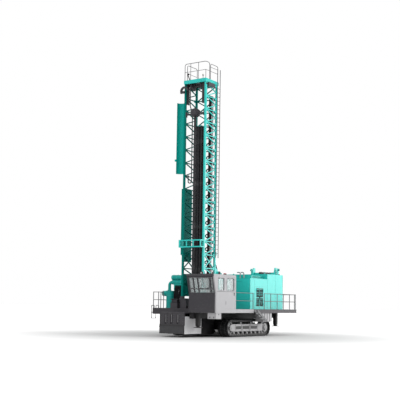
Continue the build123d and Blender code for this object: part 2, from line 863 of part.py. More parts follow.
# A-frame under the mast pivot
a_frame_x0 = chord_x + lug_half + a_frame_gap
a_frame_x1 = a_frame_x0 + a_frame_plate
a_outline = [
    (pivot_y - 180, deck_top),
    (pivot_y - 180, pivot_z + 40),
    (pivot_y - 90, pivot_z + 130),
    (pivot_y + 130, pivot_z + 130),
    (pivot_y + 250, pivot_z - 20),
    (pivot_y + 1870, deck_top),
    (pivot_y + 1520, deck_top),
    (pivot_y + 170, pivot_z - 470),
    (pivot_y + 170, deck_top),
]
a_plate = plate_x(a_outline, a_frame_x0, a_frame_x1)
a_pin = rod_x(pivot_y, pivot_z, pivot_pin_r, chord_x - lug_half - 15, a_frame_x0)
a_side = join([a_plate, a_pin])
a_tie = rod_x(pivot_y, deck_top + 0.55 * pivot_rise, 90, -a_frame_x0, a_frame_x0)
a_frame = join([a_side, mirror_x(a_side), a_tie])

# Lift cylinders
lift_dy = lift_eye_y - lift_base_y
lift_dz = lift_eye_z - lift_base_z
lift_length = math.hypot(lift_dy, lift_dz)
closed_eye_y = pivot_y + lift_eye_z - pivot_z
closed_eye_z = pivot_z + pivot_y - lift_eye_y
lift_closed = math.hypot(closed_eye_y - lift_base_y, closed_eye_z - lift_base_z)
lift_stroke = lift_length - lift_closed
lift_tilt = math.degrees(math.atan2(-lift_dy, lift_dz))
lift_frame = Pos(lift_x, lift_base_y, lift_base_z) * Rot(lift_tilt, 0, 0)
barrel_start = 210
barrel_floor = 40
barrel_end = lift_closed - fork_length - 25
rod_start = barrel_start + barrel_floor + lift_stroke + 15
eye_r = 140
eye_half = 45
barrel = Pos(0, 0, (barrel_start + barrel_end) / 2) * Cylinder(lift_barrel_r, barrel_end - barrel_start)
bore_start = barrel_start + barrel_floor
barrel_bore = Pos(0, 0, (bore_start + barrel_end + 10) / 2) * Cylinder(
    lift_rod_r + running_gap, barrel_end + 10 - bore_start
)
base_eye = Rot(0, 90, 0) * Cylinder(eye_r, 2 * eye_half)
base_neck = Pos(0, 0, barrel_start - 60) * Box(2 * eye_half, 160, 140)
base_bore = Rot(0, 90, 0) * Cylinder(lift_pin_r + running_gap, 4 * eye_half)
lift_barrel = lift_frame * (join([barrel - barrel_bore, base_eye, base_neck]) - base_bore)
save("lift_barrels", lift_barrel, mirror_x(lift_barrel))
fork_back = lift_length - fork_length
fork_base = 80
fork_width = 140
fork_inner = lift_lug_half + 8
fork_outer = 75
rod = Pos(0, 0, (rod_start + fork_back) / 2) * Cylinder(lift_rod_r, fork_back - rod_start)
rod_pieces = [rod, Pos(0, 0, fork_back + fork_base / 2) * Box(2 * fork_outer, fork_width, fork_base)]
ear_length = fork_length - fork_base + 70
for side in (-1, 1):
    ear_x = side * (fork_inner + fork_outer) / 2
    ear_z = fork_back + fork_base + ear_length / 2
    rod_pieces.append(Pos(ear_x, 0, ear_z) * Box(fork_outer - fork_inner, fork_width, ear_length))
lift_rod = lift_frame * join(rod_pieces)
save("lift_rods", lift_rod, mirror_x(lift_rod))
clevis_plate = 50
clevis_gap = eye_half + 6
clevises = [rod_x(lift_base_y, lift_base_z, lift_pin_r, lift_x - clevis_gap - 10, lift_x + clevis_gap + 10)]
for clevis_x in (lift_x - clevis_gap - clevis_plate, lift_x + clevis_gap):
    clevises.append(
        block(
            clevis_x, clevis_x + clevis_plate, lift_base_y - 140, lift_base_y + 140, deck_top, lift_base_z + 100
        )
    )
clevis = join(clevises)
save("mast_supports", a_frame, clevis, mirror_x(clevis))

# Mast rest behind the house
rest_back = 550
rest_beam = 160
rest_bar_height = 190
fork_gap = 10
fork_plate = 80
fork_rise = 360
fork_root = 300
rest_y0 = deck_rear + rest_back
rest_y1 = rest_y0 + rest_beam
saddle_z = pivot_z + pivot_back - 12
rest_post = 120
rest_post_y = deck_rear - sill - rest_post
rest_arm_z = saddle_z - rest_bar_height
rest_pieces = [block(-mast_outer_x, mast_outer_x, rest_y0, rest_y1, rest_arm_z, saddle_z)]
for side in (-1, 1):
    post_x = side * (mast_inner_x - 60)
    rest_pieces.append(
        block(post_x - 60, post_x + 60, rest_post_y, rest_post_y + rest_post, deck_top, rest_arm_z)
    )
    arm_outline = [
        (rest_post_y, rest_arm_z - 700),
        (rest_y1, rest_arm_z),
        (rest_post_y, rest_arm_z),
    ]
    rest_pieces.append(plate_x(arm_outline, post_x - 60, post_x + 60))
save("mast_rest", join(rest_pieces))
fork_x0 = mast_outer_x + fork_gap
rest_fork_outline = [
    (rest_y0 - fork_root, rest_arm_z - 60),
    (rest_y1 + 60, rest_arm_z - 60),
    (rest_y1 + 20, saddle_z + fork_rise),
    (rest_y0 - 60, saddle_z + fork_rise),
]
rest_fork = join(
    [
        plate_x(rest_fork_outline, fork_x0, fork_x0 + fork_plate),
        block(mast_outer_x, fork_x0, rest_y0, rest_y1, rest_arm_z, saddle_z),
    ]
)
save("mast_rest_forks", rest_fork, mirror_x(rest_fork))

# Door hinges
knuckle_r = 20
knuckle_gap = 1.4
knuckle_end = 1
leaf_knuckle = 100
post_knuckle = 60


def hang_door(door, wall, axis_x, axis_y, heights):
    for height in heights:
        low = height - leaf_knuckle / 2
        high = height + leaf_knuckle / 2
        post_runs = [
            (low - knuckle_end - post_knuckle, low - knuckle_end),
            (high + knuckle_end, high + knuckle_end + post_knuckle),
        ]
        leaf_room = rod_z(axis_x, axis_y, knuckle_r + knuckle_gap, low - knuckle_end, high + knuckle_end)
        wall = wall - leaf_room
        for z0, z1 in post_runs:
            post_room = rod_z(axis_x, axis_y, knuckle_r + knuckle_gap, z0 - knuckle_end, z1 + knuckle_end)
            door = door - post_room
        for z0, z1 in post_runs:
            wall = join([wall, rod_z(axis_x, axis_y, knuckle_r, z0, z1)])
        door = join([door, rod_z(axis_x, axis_y, knuckle_r, low, high)])
    return door, wall


# Cab
save("cab_floor", block(cab_inner_x, cab_outer_x, cab_front, cab_rear, deck_bottom, deck_top))
cab_side_outline = [
    (cab_front, deck_top),
    (cab_rear, deck_top),
    (cab_rear, cab_wall_top),
    (cab_front - cab_lean, cab_wall_top),
    (cab_front, cab_knee_z),
]
wall_x0 = cab_outer_x - cab_wall
cut_x0 = wall_x0 - 10
cut_x1 = cab_outer_x + 10
outer_wall = plate_x(cab_side_outline, wall_x0, cab_outer_x)
side_window = (cab_front + 240, door_front - 240)
outer_wall = outer_wall - block(cut_x0, cut_x1, side_window[0], side_window[1], window_bottom, window_top)
outer_wall = outer_wall - block(cut_x0, cut_x1, door_front, door_rear, deck_top - 10, door_top)
inner_window = (cab_front + 240, cab_rear - 360)
inner_sill = deck_top + 800
inner_wall = plate_x(cab_side_outline, cab_inner_x, cab_inner_x + cab_wall)
inner_wall = inner_wall - block(
    cab_inner_x - 10, cab_inner_x + cab_wall + 10, inner_window[0], inner_window[1], inner_sill, window_top
)
save("cab_wall_inner", inner_wall)

front_outline = [
    (cab_front, deck_top),
    (cab_front + cab_wall, deck_top),
    (cab_front + cab_wall, cab_knee_z + 10),
    (cab_front - cab_lean + cab_wall, cab_wall_top),
    (cab_front - cab_lean, cab_wall_top),
    (cab_front, cab_knee_z),
]
pane_x0 = cab_inner_x + cab_wall
pane_x1 = wall_x0
front_columns = [(0.03, 0.18), (0.21, 0.36), (0.39, 0.82), (0.88, 0.97)]
front_rows = [(cab_knee_z + 80, cab_knee_z + 300), (cab_knee_z + 350, window_top)]
lean_slope = cab_lean / (cab_wall_top - cab_knee_z)
pane_depth = 40
front_wall = plate_x(front_outline, pane_x0, pane_x1)
glass = []
for share0, share1 in front_columns:
    x0 = pane_x0 + share0 * (pane_x1 - pane_x0)
    x1 = pane_x0 + share1 * (pane_x1 - pane_x0)
    for z0, z1 in front_rows:
        front_wall = front_wall - block(x0, x1, cab_front - cab_lean - 10, cab_front + cab_wall + 10, z0, z1)
        low_y = cab_front - lean_slope * (z0 - cab_knee_z) + pane_depth
        high_y = cab_front - lean_slope * (z1 - cab_knee_z) + pane_depth
        glass.append(plate_x([(low_y, z0), (low_y + pane, z0), (high_y + pane, z1), (high_y, z1)], x0, x1))
save("cab_wall_front", front_wall)
rear_wall = block(pane_x0, pane_x1, cab_rear - cab_wall, cab_rear, deck_top, cab_wall_top)
rear_pane = (pane_x0 + 300, pane_x1 - 300)
rear_sill = deck_top + 1000
rear_wall = rear_wall - block(
    rear_pane[0], rear_pane[1], cab_rear - cab_wall - 10, cab_rear + 10, rear_sill, window_top
)
save("cab_wall_rear", rear_wall)
roof_front = cab_front - cab_lean - 20
save("cab_roof", block(cab_inner_x, cab_outer_x, roof_front, cab_rear, cab_wall_top, cab_top))
pane_outer_x = cab_outer_x - cab_wall / 2
pane_inner_x = cab_inner_x + cab_wall / 2
pane_rear_y = cab_rear - cab_wall / 2
glass += [
    block(pane_outer_x - pane, pane_outer_x, *side_window, window_bottom, window_top),
    block(pane_inner_x, pane_inner_x + pane, *inner_window, inner_sill, window_top),
    block(*rear_pane, pane_rear_y, pane_rear_y + pane, rear_sill, window_top),
]
save("cab_glass", *glass)
door_window = (door_front + 120, door_rear - 120)
door = block(
    wall_x0, cab_outer_x, door_front + hinge_gap, door_rear - door_gap, deck_top + door_gap, door_top - door_gap
)
door = door - block(cut_x0, cut_x1, door_window[0], door_window[1], window_bottom, window_top)
cab_hinge_x = cab_outer_x + 5
cab_hinges = (deck_top + 400, door_top - 400)
door, outer_wall = hang_door(door, outer_wall, cab_hinge_x, door_front, cab_hinges)
save("cab_wall_outer", outer_wall)
save("cab_door", door)
save(
    "cab_door_glass",
    block(pane_outer_x - pane, pane_outer_x, door_window[0], door_window[1], window_bottom, window_top),
)
seat_x = (cab_inner_x + cab_outer_x) / 2
seat_y = cab_rear - 1160
cushion_z = deck_top + 400
cushion_top = cushion_z + 120
seat_pieces = [
    block(seat_x - 150, seat_x + 150, seat_y - 150, seat_y + 150, deck_top, cushion_z),
    block(seat_x - 280, seat_x + 280, seat_y - 300, seat_y + 250, cushion_z, cushion_top),
    block(seat_x - 270, seat_x + 270, seat_y + 130, seat_y + 250, cushion_top, cushion_top + 730),
]
console = block(seat_x - 550, seat_x + 550, cab_front + 200, cab_front + 550, deck_top, deck_top + 800)
save("cab_seat_and_console", join(seat_pieces), console)
lamps = []
for lamp_share in (0.5, 0.88):
    lamp_x = cab_inner_x + lamp_share * (cab_outer_x - cab_inner_x)
    lamps.append(block(lamp_x - 80, lamp_x + 80, cab_front - 180, cab_front - 60, cab_top, cab_top + 150))
lamps.append(rod_z(cab_outer_x - 290, door_rear - 830, 110, cab_top, cab_top + 60))
save("cab_lamps", *lamps)

# Machinery house
door_y0 = house_front + 860
door_y1 = door_y0 + 1020
door_z0 = deck_top + 100
door_z1 = deck_top + 1600
house_side_outline = [
    (house_front, deck_top),
    (house_rear, deck_top),
    (house_rear, cooler_top - house_wall),
    (house_split, cooler_top - house_wall),
    (house_split, house_wall_top),
    (house_front, house_wall_top),
]
left_wall = plate_x(house_side_outline, inside_x, house_x)
right_wall = mirror_x(left_wall)
left_wall = left_wall - block(inside_x - 10, house_x + 10, door_y0, door_y1, door_z0, door_z1)
front_end = block(-inside_x, inside_x, house_front, house_front + house_wall, deck_top, house_wall_top)
front_recess = block(
    0.5 * house_x, 0.72 * house_x, house_front - 10, house_front + 35, deck_top + 1050, house_wall_top - 150
)
cooler_rear = block(-inside_x, inside_x, house_rear - house_wall, house_rear, deck_top, cooler_top - house_wall)
core_x = house_x - 400
core_z0 = deck_top + 300
core_z1 = cooler_top - 250
core_cut_y = house_rear - house_wall - 10
cooler_rear = cooler_rear - block(-core_x, core_x, core_cut_y, house_rear + 10, core_z0, core_z1)
save("house_end_walls", front_end - front_recess, cooler_rear)

slat_depth = 35
slat_height = 40
door_rows = [(door_z0 + 130, door_z0 + 680), (door_z0 + 770, door_z0 + 1370)]
slat_count = 5


def louvre(y0, y1, z0, z1, x0, x1):
    slats = []
    step = (z1 - z0) / slat_count
    for number in range(slat_count):
        slat_z = z0 + (number + 0.5) * step
        slats.append(block(x0, x1, y0, y1, slat_z - slat_height / 2, slat_z + slat_height / 2))
    return slats


door_mid = (door_y0 + door_y1) / 2
leaf_runs = [
    ("front", door_y0 + hinge_gap, door_mid - door_gap, door_y0),
    ("rear", door_mid + door_gap, door_y1 - hinge_gap, door_y1),
]
house_hinge_x = house_x + 4
house_hinges = (door_z0 + 250, door_z1 - 250)
for leaf, y0, y1, hinge_y in leaf_runs:
    leaf_plate = block(inside_x, house_x, y0, y1, door_z0 + door_gap, door_z1 - door_gap)
    slats = []
    for z0, z1 in door_rows:
        leaf_plate = leaf_plate - block(house_x - slat_depth, house_x + 10, y0 + 50, y1 - 50, z0, z1)
        slats += louvre(y0 + 50, y1 - 50, z0, z1, house_x - slat_depth, house_x - 10)
    house_door = join([leaf_plate, *slats])
    house_door, left_wall = hang_door(house_door, left_wall, house_hinge_x, hinge_y, house_hinges)
    save(f"house_door_{leaf}", house_door)
save("house_side_walls", left_wall, right_wall)

roof_plate = block(-house_x, house_x, house_front, house_split, house_wall_top, house_wall_top + house_wall)
hood_x = house_x - 300
hood_y0 = house_front + 700
roof_hood = block(-hood_x, hood_x, hood_y0, house_split, house_wall_top, hood_top)
roof_hollow = block(
    -hood_x + 60, hood_x - 60, hood_y0 + 60, house_split - 60, house_wall_top - 10, hood_top - 60
)
intake = block(hood_x - 25, hood_x + 10, hood_y0 + 80, house_split - 80, house_wall_top + 90, hood_top - 30)
cooler_roof = block(-house_x, house_x, house_split, house_rear, cooler_top - house_wall, cooler_top)
step_face = block(
    -inside_x, inside_x, house_split, house_split + house_wall, house_wall_top, cooler_top - house_wall
)
save("house_roof", join([roof_plate, roof_hood, step_face, cooler_roof]) - roof_hollow - intake)
cooler_core = block(-core_x, core_x, house_rear - house_wall, house_rear - house_wall / 2, core_z0, core_z1)
engine = block(-700, 700, house_front + 560, house_rear - 690, deck_top, deck_top + 1600)
save("engine_and_cooler", engine, cooler_core)

# Roof equipment
muffler_r = 85
muffler_x = house_x - 800
muffler_z = cooler_top + muffler_r + 15
muffler_y0 = house_split + 270
muffler_y1 = house_rear - 690
muffler_pieces = [rod_y(muffler_x, muffler_z, muffler_r, muffler_y0, muffler_y1)]
for leg_y in (muffler_y0 + 200, muffler_y1 - 260):
    muffler_pieces.append(block(muffler_x - 60, muffler_x + 60, leg_y, leg_y + 60, cooler_top, muffler_z))
save("muffler", join(muffler_pieces))
breather_r = 40
breather_bend = 110
roof_z = house_wall_top + house_wall
breathers = []
for breather_x in (house_x - 1000, house_x - 700):
    breather_points = [
        (breather_x, house_front + 300, roof_z),
        (breather_x, house_front + 300, roof_z + 420),
        (breather_x - 250, house_front + 300, roof_z + 420),
    ]
    breathers.append(pipe(breather_points, breather_r, breather_bend))
save("breather_pipes", *breathers)

# Dust collector on the far deck
filter_y = far_deck_front + 630
cyclone_r = 270
cyclone_inset = 1040
cyclone_x = -deck_half_width + cyclone_inset
cyclone_top = deck_top + 1200
inlet_z = deck_top + 1010
inlet_r = 170
inlet_end = cyclone_x - cyclone_r - 290
duct_r = 105
duct_x = cyclone_x - 60
duct_bend = 220
lower_r = 160
upper_r = 175
lower_z = deck_top + 1790
upper_z = lower_z + lower_r + upper_r - 6
tank_end = cyclone_x + 190
tank_inner_x = -well_half_width
cyclone = rod_z(cyclone_x, filter_y, cyclone_r, deck_top, cyclone_top)
inlet = Pos((inlet_end + cyclone_x) / 2, filter_y, inlet_z) * Rot(0, 90, 0) * Cone(
    inlet_r, cyclone_r * 0.9, cyclone_x - inlet_end
)
duct_points = [
    (duct_x, filter_y, cyclone_top),
    (duct_x, filter_y, lower_z),
    (tank_end + 40, filter_y, lower_z),
]
duct = pipe(duct_points, duct_r, duct_bend)
tank_stand = block(
    tank_end + 200, tank_inner_x - 20, filter_y - 120, filter_y + 120, lower_z - lower_r - 380, lower_z
)
stand_legs = []
for leg_x in (tank_end + 210, tank_inner_x - 130):
    stand_legs.append(
        block(leg_x, leg_x + 100, filter_y - 100, filter_y + 100, deck_top, lower_z - lower_r - 380)
    )
tanks = [
    rod_x(filter_y, lower_z, lower_r, tank_end, tank_inner_x),
    rod_x(filter_y, upper_z, upper_r, tank_end, tank_inner_x),
]
save("dust_collector", join([cyclone, inlet, duct, tank_stand, *stand_legs, *tanks]))

# Pumps beside the drill table and the breakout wrench on it
pump_x0 = -well_half_width - 620
pump_y0 = far_deck_front + 60
pump_pieces = [
    block(pump_x0, -well_half_width - 40, pump_y0, pump_y0 + 330, deck_top, deck_top + 380),
    rod_x(pump_y0 + 165, deck_top + 470, 130, pump_x0 + 60, -well_half_width - 90),
    block(pump_x0 - 40, -well_half_width - 20, pump_y0 + 10, pump_y0 + 320, deck_top + 590, deck_top + 640),
]
wrench_gap = 30
wrench_x0 = -seat_x0 + wrench_gap
wrench_x1 = -bushing_r - wrench_gap
wrench_y0 = drill_y - 290
wrench_y1 = drill_y + 260
wrench_top = deck_top + 520
wrench_mid = (wrench_x0 + wrench_x1) / 2
wrench = join(
    [
        block(wrench_x0, wrench_x1, wrench_y0, wrench_y1, deck_top, wrench_top),
        block(wrench_x0 + 40, wrench_x1 - 40, wrench_y0 + 60, wrench_y1 - 60, wrench_top, wrench_top + 90),
        rod_y(wrench_mid, wrench_top + 90, 70, wrench_y0 + 20, wrench_y1 - 20),
    ]
)
save("far_deck_pumps", join(pump_pieces), wrench)

# Boxes and tanks hung under the deck
tool_box = block(
    track_outer_x + 90, deck_half_width, cab_front + 70, cab_front + 700, deck_bottom - 390, deck_bottom
)
side_tank_y = house_front + 560
side_tank = block(
    track_outer_x + 90, deck_half_width - 100, side_tank_y, side_tank_y + 1350, deck_bottom - 610, deck_web_top
)
fuel_x = well_half_width - 100
fuel_y = house_split + 470
fuel_tank = block(-fuel_x, fuel_x, fuel_y, fuel_y + 1000, beam_bottom - 240, deck_web_top)
save("under_deck_boxes", tool_box, side_tank, fuel_tank)


# Handrails
def rail_along_y(x, y0, y1, spacing):
    count = max(1, round((y1 - y0) / spacing))
    step = (y1 - y0) / count
    pieces = [rod_z(x, y0 + step * number, post_r, deck_top, rail_top) for number in range(count + 1)]
    for level in rail_levels:
        pieces.append(rod_y(x, level, rail_r, y0, y1))
    return join(pieces)


def rail_along_x(y, x0, x1, spacing):
    count = max(1, round((x1 - x0) / spacing))
    step = (x1 - x0) / count
    pieces = [rod_z(x0 + step * number, y, post_r, deck_top, rail_top) for number in range(count + 1)]
    for level in rail_levels:
        pieces.append(rod_x(y, level, rail_r, x0, x1))
    return join(pieces)


stair_top = house_front - 800
stair_run = 1300
rear_rail_y = deck_rear - rail_inset
rails = [
    rail_along_y(rail_x, cab_rear + 90, stair_top - 70, 2400),
    rail_along_y(rail_x, stair_top + 1500, deck_rear - 120, 950),
    rail_along_y(-rail_x, far_deck_front + 900, deck_rear - 120, 950),
    rail_along_x(rear_rail_y, -rail_x + 120, rail_x - 120, 1900),
    rail_along_x(far_deck_front + rail_inset, -rail_x, cyclone_x - 130, 440),
]

# Boarding stairs
stair_reach = deck_half_width + 300
stringer = 40
stringer_depth = 180
stair_foot = deck_top - 720
tread_count = 4
stringer_outline = [
    (stair_top, deck_top),
    (stair_top, deck_top - stringer_depth),
    (stair_top + stair_run, stair_foot - stringer_depth),
    (stair_top + stair_run, stair_foot),
]
stair_pieces = [
    plate_x(stringer_outline, deck_half_width, deck_half_width + stringer),
    plate_x(stringer_outline, stair_reach - stringer, stair_reach),
]
for tread in range(tread_count):
    share = (tread + 0.6) / tread_count
    tread_y = stair_top + share * stair_run
    tread_z = deck_top - share * (deck_top - stair_foot) - 70
    stair_pieces.append(
        block(deck_half_width, stair_reach, tread_y - 120, tread_y + 120, tread_z - 40, tread_z)
    )
stairs = join(stair_pieces)
hoop_y0 = far_deck_front + 120
hoop_y1 = hoop_y0 + 520
hoop_x = -deck_half_width - 180
hoop_top = deck_top + 170
hoop_foot = deck_top - 740
hoop_bend = 100
hoop_pieces = []
for stile_y in (hoop_y0, hoop_y1):
    stile = [
        (-deck_half_width + 60, stile_y, deck_top),
        (-deck_half_width + 60, stile_y, hoop_top),
        (hoop_x, stile_y, hoop_top),
        (hoop_x, stile_y, hoop_foot),
    ]
    hoop_pieces.append(pipe(stile, rail_r, hoop_bend / 2))
for level in (hoop_foot + rail_r, (hoop_foot + deck_top) / 2 + 60):
    hoop_pieces.append(block(hoop_x - 60, hoop_x + 60, hoop_y0, hoop_y1, level - 20, level + 20))
save("handrails_and_ladders", *rails, stairs, join(hoop_pieces))
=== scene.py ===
import json
import math

import bmesh
import bpy
from mathutils import Matrix, Vector


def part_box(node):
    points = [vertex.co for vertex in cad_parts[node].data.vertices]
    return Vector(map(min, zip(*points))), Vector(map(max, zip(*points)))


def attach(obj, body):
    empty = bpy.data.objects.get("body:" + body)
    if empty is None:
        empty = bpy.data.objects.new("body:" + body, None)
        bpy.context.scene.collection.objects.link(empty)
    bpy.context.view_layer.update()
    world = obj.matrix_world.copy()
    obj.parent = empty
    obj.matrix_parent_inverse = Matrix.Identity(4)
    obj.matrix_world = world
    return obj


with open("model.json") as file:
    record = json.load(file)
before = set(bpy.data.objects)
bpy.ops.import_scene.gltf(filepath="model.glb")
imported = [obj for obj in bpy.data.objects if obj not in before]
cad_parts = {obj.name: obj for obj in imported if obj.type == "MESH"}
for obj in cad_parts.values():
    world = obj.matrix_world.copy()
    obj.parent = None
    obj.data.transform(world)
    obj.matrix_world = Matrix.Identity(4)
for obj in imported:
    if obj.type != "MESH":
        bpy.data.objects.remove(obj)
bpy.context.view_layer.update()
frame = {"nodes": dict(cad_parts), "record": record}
nodes = frame["nodes"]
print("frame loaded:", len(nodes), "nodes")


# shader groups shared by the finishes

# a value that is a socket is linked, and any other is set
def fillNode(tree, node, inputs):
    for socket, value in inputs.items():
        if isinstance(value, bpy.types.NodeSocket):
            tree.links.new(value, node.inputs[socket])
        else:
            node.inputs[socket].default_value = value
    return node


def addNode(tree, kind, inputs, **settings):
    node = tree.nodes.new(kind)
    for label, value in settings.items():
        setattr(node, label, value)
    return fillNode(tree, node, inputs).outputs


def addMath(tree, operation, first, second, clamp=False):
    return addNode(tree, "ShaderNodeMath", {0: first, 1: second}, operation=operation, use_clamp=clamp)[0]


def addNoise(tree, coords, scale, detail, roughness=0.5):
    inputs = {"Vector": coords, "Scale": scale, "Detail": detail, "Roughness": roughness}
    return addNode(tree, "ShaderNodeTexNoise", inputs)["Fac"]


def newGroup(name, values, results):
    group = bpy.data.node_groups.new(name, "ShaderNodeTree")
    group.interface.new_socket("Coordinates", in_out="INPUT", socket_type="NodeSocketVector")
    for label in values:
        group.interface.new_socket(label, in_out="INPUT", socket_type="NodeSocketFloat")
    for label in results:
        group.interface.new_socket(label, in_out="OUTPUT", socket_type="NodeSocketFloat")
    return group, group.nodes.new("NodeGroupInput").outputs


def makePaintGrain():
    look = {"detail": 4.0, "roughness": 0.6, "middle": 0.5, "fineness": 30.0, "fineDetail": 2.0}
    group, given = newGroup("paintGrain", ("Scale", "Contrast"), ("Shade", "Height"))
    blotch = addNoise(group, given["Coordinates"], given["Scale"], look["detail"], look["roughness"])
    centred = addMath(group, "SUBTRACT", blotch, look["middle"])
    shade = addMath(group, "ADD", addMath(group, "MULTIPLY", centred, given["Contrast"]), 1.0)
    fine = addMath(group, "MULTIPLY", given["Scale"], look["fineness"])
    speck = addNoise(group, given["Coordinates"], fine, look["fineDetail"])
    addNode(group, "NodeGroupOutput", {"Shade": shade, "Height": speck})
    return group


def makeRoadDust():
    look = {"scale": 2.6, "detail": 5.0}
    group, given = newGroup("roadDust", ("Top", "Amount"), ("Mask",))
    height = addNode(group, "ShaderNodeSeparateXYZ", {0: given["Coordinates"]})["Z"]
    span = {"Value": height, "From Max": given["Top"], "To Min": 1.0, "To Max": 0.0}
    fade = addNode(group, "ShaderNodeMapRange", span)["Result"]
    patch = addNoise(group, given["Coordinates"], look["scale"], look["detail"])
    broken = addMath(group, "MULTIPLY", fade, patch)
    mask = addMath(group, "MULTIPLY", broken, given["Amount"], clamp=True)
    addNode(group, "NodeGroupOutput", {"Mask": mask})
    return group


def makeBareSteel():
    look = {"detail": 6.0, "roughness": 0.7, "cutLow": 0.56, "cutHigh": 0.66}
    group, given = newGroup("bareSteel", ("Scale", "Amount"), ("Mask",))
    scratch = addNoise(group, given["Coordinates"], given["Scale"], look["detail"], look["roughness"])
    span = {"Value": scratch, "From Min": look["cutLow"], "From Max": look["cutHigh"]}
    cut = addNode(group, "ShaderNodeMapRange", span)["Result"]
    mask = addMath(group, "MULTIPLY", cut, given["Amount"], clamp=True)
    addNode(group, "NodeGroupOutput", {"Mask": mask})
    return group


paintGrain = makePaintGrain()
roadDust = makeRoadDust()
bareSteel = makeBareSteel()
print("shader groups made")


# finishes

commonLook = {"metallic": 0.0, "gloss": 0.2, "bumpDepth": 0.002, "dustColour": (0.42, 0.40, 0.37, 1.0)}


def placeGroup(tree, group, coords, **values):
    return addNode(tree, "ShaderNodeGroup", {"Coordinates": coords, **values}, node_tree=group)


def mixColour(tree, factor, first, second, blend="MIX"):
    inputs = {0: factor, 6: first, 7: second}
    return addNode(tree, "ShaderNodeMix", inputs, data_type="RGBA", blend_type=blend)[2]


def newFinish(name, look):
    material = bpy.data.materials.new(name)
    material.use_nodes = True
    tree = material.node_tree
    base = {"Metallic": look["metallic"], "Roughness": look["roughness"], "Specular IOR Level": look["gloss"]}
    shader = fillNode(tree, tree.nodes["Principled BSDF"], base)
    coords = tree.nodes.new("ShaderNodeTexCoord").outputs["Object"]
    grain = placeGroup(tree, paintGrain, coords, Scale=look["grainScale"], Contrast=look["contrast"])
    toned = mixColour(tree, 1.0, look["colour"], grain["Shade"], "MULTIPLY")
    return material, shader, coords, grain, toned


def surfaceFinish(name, look, **changes):
    look = {**commonLook, **look, **changes}
    material, shader, coords, grain, toned = newFinish(name, look)
    tree = material.node_tree
    dust = placeGroup(tree, roadDust, coords, Top=look["dustTop"], Amount=look["dust"])
    worn = placeGroup(tree, bareSteel, coords, Scale=look["wearScale"], Amount=look["wear"])
    scuffed = mixColour(tree, worn["Mask"], toned, look["under"])
    dusty = mixColour(tree, dust["Mask"], scuffed, look["dustColour"])
    relief = {"Strength": look["bump"], "Distance": look["bumpDepth"], "Height": grain["Height"]}
    bump = addNode(tree, "ShaderNodeBump", relief)
    fillNode(tree, shader, {"Base Color": dusty, "Normal": bump["Normal"]})
    return material


tealLook = {
    "colour": (0.022, 0.46, 0.415, 1.0),
    "under": (0.02, 0.30, 0.27, 1.0),
    "roughness": 0.38,
    "gloss": 0.3,
    "grainScale": 1.4,
    "contrast": 0.16,
    "dustTop": 2.2,
    "dust": 0.25,
    "wearScale": 9.0,
    "wear": 0.12,
    "bump": 0.05,
}
darkLook = {
    "colour": (0.034, 0.032, 0.037, 1.0),
    "under": (0.11, 0.11, 0.115, 1.0),
    "roughness": 0.5,
    "grainScale": 1.8,
    "contrast": 0.25,
    "dustTop": 2.4,
    "dust": 0.07,
    "wearScale": 8.0,
    "wear": 0.2,
    "bump": 0.08,
}
lightLook = {
    "colour": (0.285, 0.282, 0.292, 1.0),
    "under": (0.30, 0.30, 0.31, 1.0),
    "roughness": 0.42,
    "grainScale": 1.5,
    "contrast": 0.12,
    "dustTop": 2.2,
    "dust": 0.3,
    "wearScale": 7.0,
    "wear": 0.15,
    "bump": 0.05,
}
railLook = {
    "colour": (0.10, 0.101, 0.106, 1.0),
    "under": (0.09, 0.12, 0.125, 1.0),
    "roughness": 0.45,
    "grainScale": 3.0,
    "contrast": 0.2,
    "dustTop": 2.0,
    "dust": 0.1,
    "wearScale": 12.0,
    "wear": 0.2,
    "bump": 0.05,
}
trackLook = {
    "colour": (0.006, 0.006, 0.007, 1.0),
    "under": (0.05, 0.05, 0.053, 1.0),
    "roughness": 0.6,
    "grainScale": 4.0,
    "contrast": 0.5,
    "dustTop": 0.9,
    "dust": 0.03,
    "wearScale": 11.0,
    "wear": 0.4,
    "bump": 0.25,
}
wheelLook = {
    "colour": (0.16, 0.16, 0.165, 1.0),
    "under": (0.32, 0.32, 0.33, 1.0),
    "roughness": 0.45,
    "metallic": 0.3,
    "grainScale": 4.0,
    "contrast": 0.4,
    "dustTop": 1.0,
    "dust": 0.25,
    "wearScale": 9.0,
    "wear": 0.4,
    "bump": 0.15,
}
rodLook = {
    "colour": (0.016, 0.016, 0.018, 1.0),
    "under": (0.06, 0.06, 0.063, 1.0),
    "roughness": 0.45,
    "metallic": 0.15,
    "grainScale": 5.0,
    "contrast": 0.4,
    "dustTop": 1.5,
    "dust": 0.1,
    "wearScale": 6.0,
    "wear": 0.35,
    "bump": 0.1,
}
rubberLook = {
    "colour": (0.008, 0.008, 0.009, 1.0),
    "under": (0.03, 0.03, 0.032, 1.0),
    "roughness": 0.8,
    "gloss": 0.08,
    "grainScale": 5.0,
    "contrast": 0.4,
    "dustTop": 1.4,
    "dust": 0.04,
    "wearScale": 7.0,
    "wear": 0.3,
    "bump": 0.3,
}
trimLook = {
    "colour": (0.02, 0.02, 0.022, 1.0),
    "under": (0.05, 0.05, 0.05, 1.0),
    "roughness": 0.5,
    "grainScale": 6.0,
    "contrast": 0.3,
    "dustTop": 1.5,
    "dust": 0.1,
    "wearScale": 10.0,
    "wear": 0.1,
    "bump": 0.1,
}
chromeLook = {
    "colour": (0.45, 0.45, 0.47, 1.0),
    "under": (0.30, 0.30, 0.31, 1.0),
    "roughness": 0.2,
    "metallic": 1.0,
    "grainScale": 6.0,
    "contrast": 0.1,
    "dustTop": 1.0,
    "dust": 0.1,
    "wearScale": 14.0,
    "wear": 0.15,
    "bump": 0.03,
}
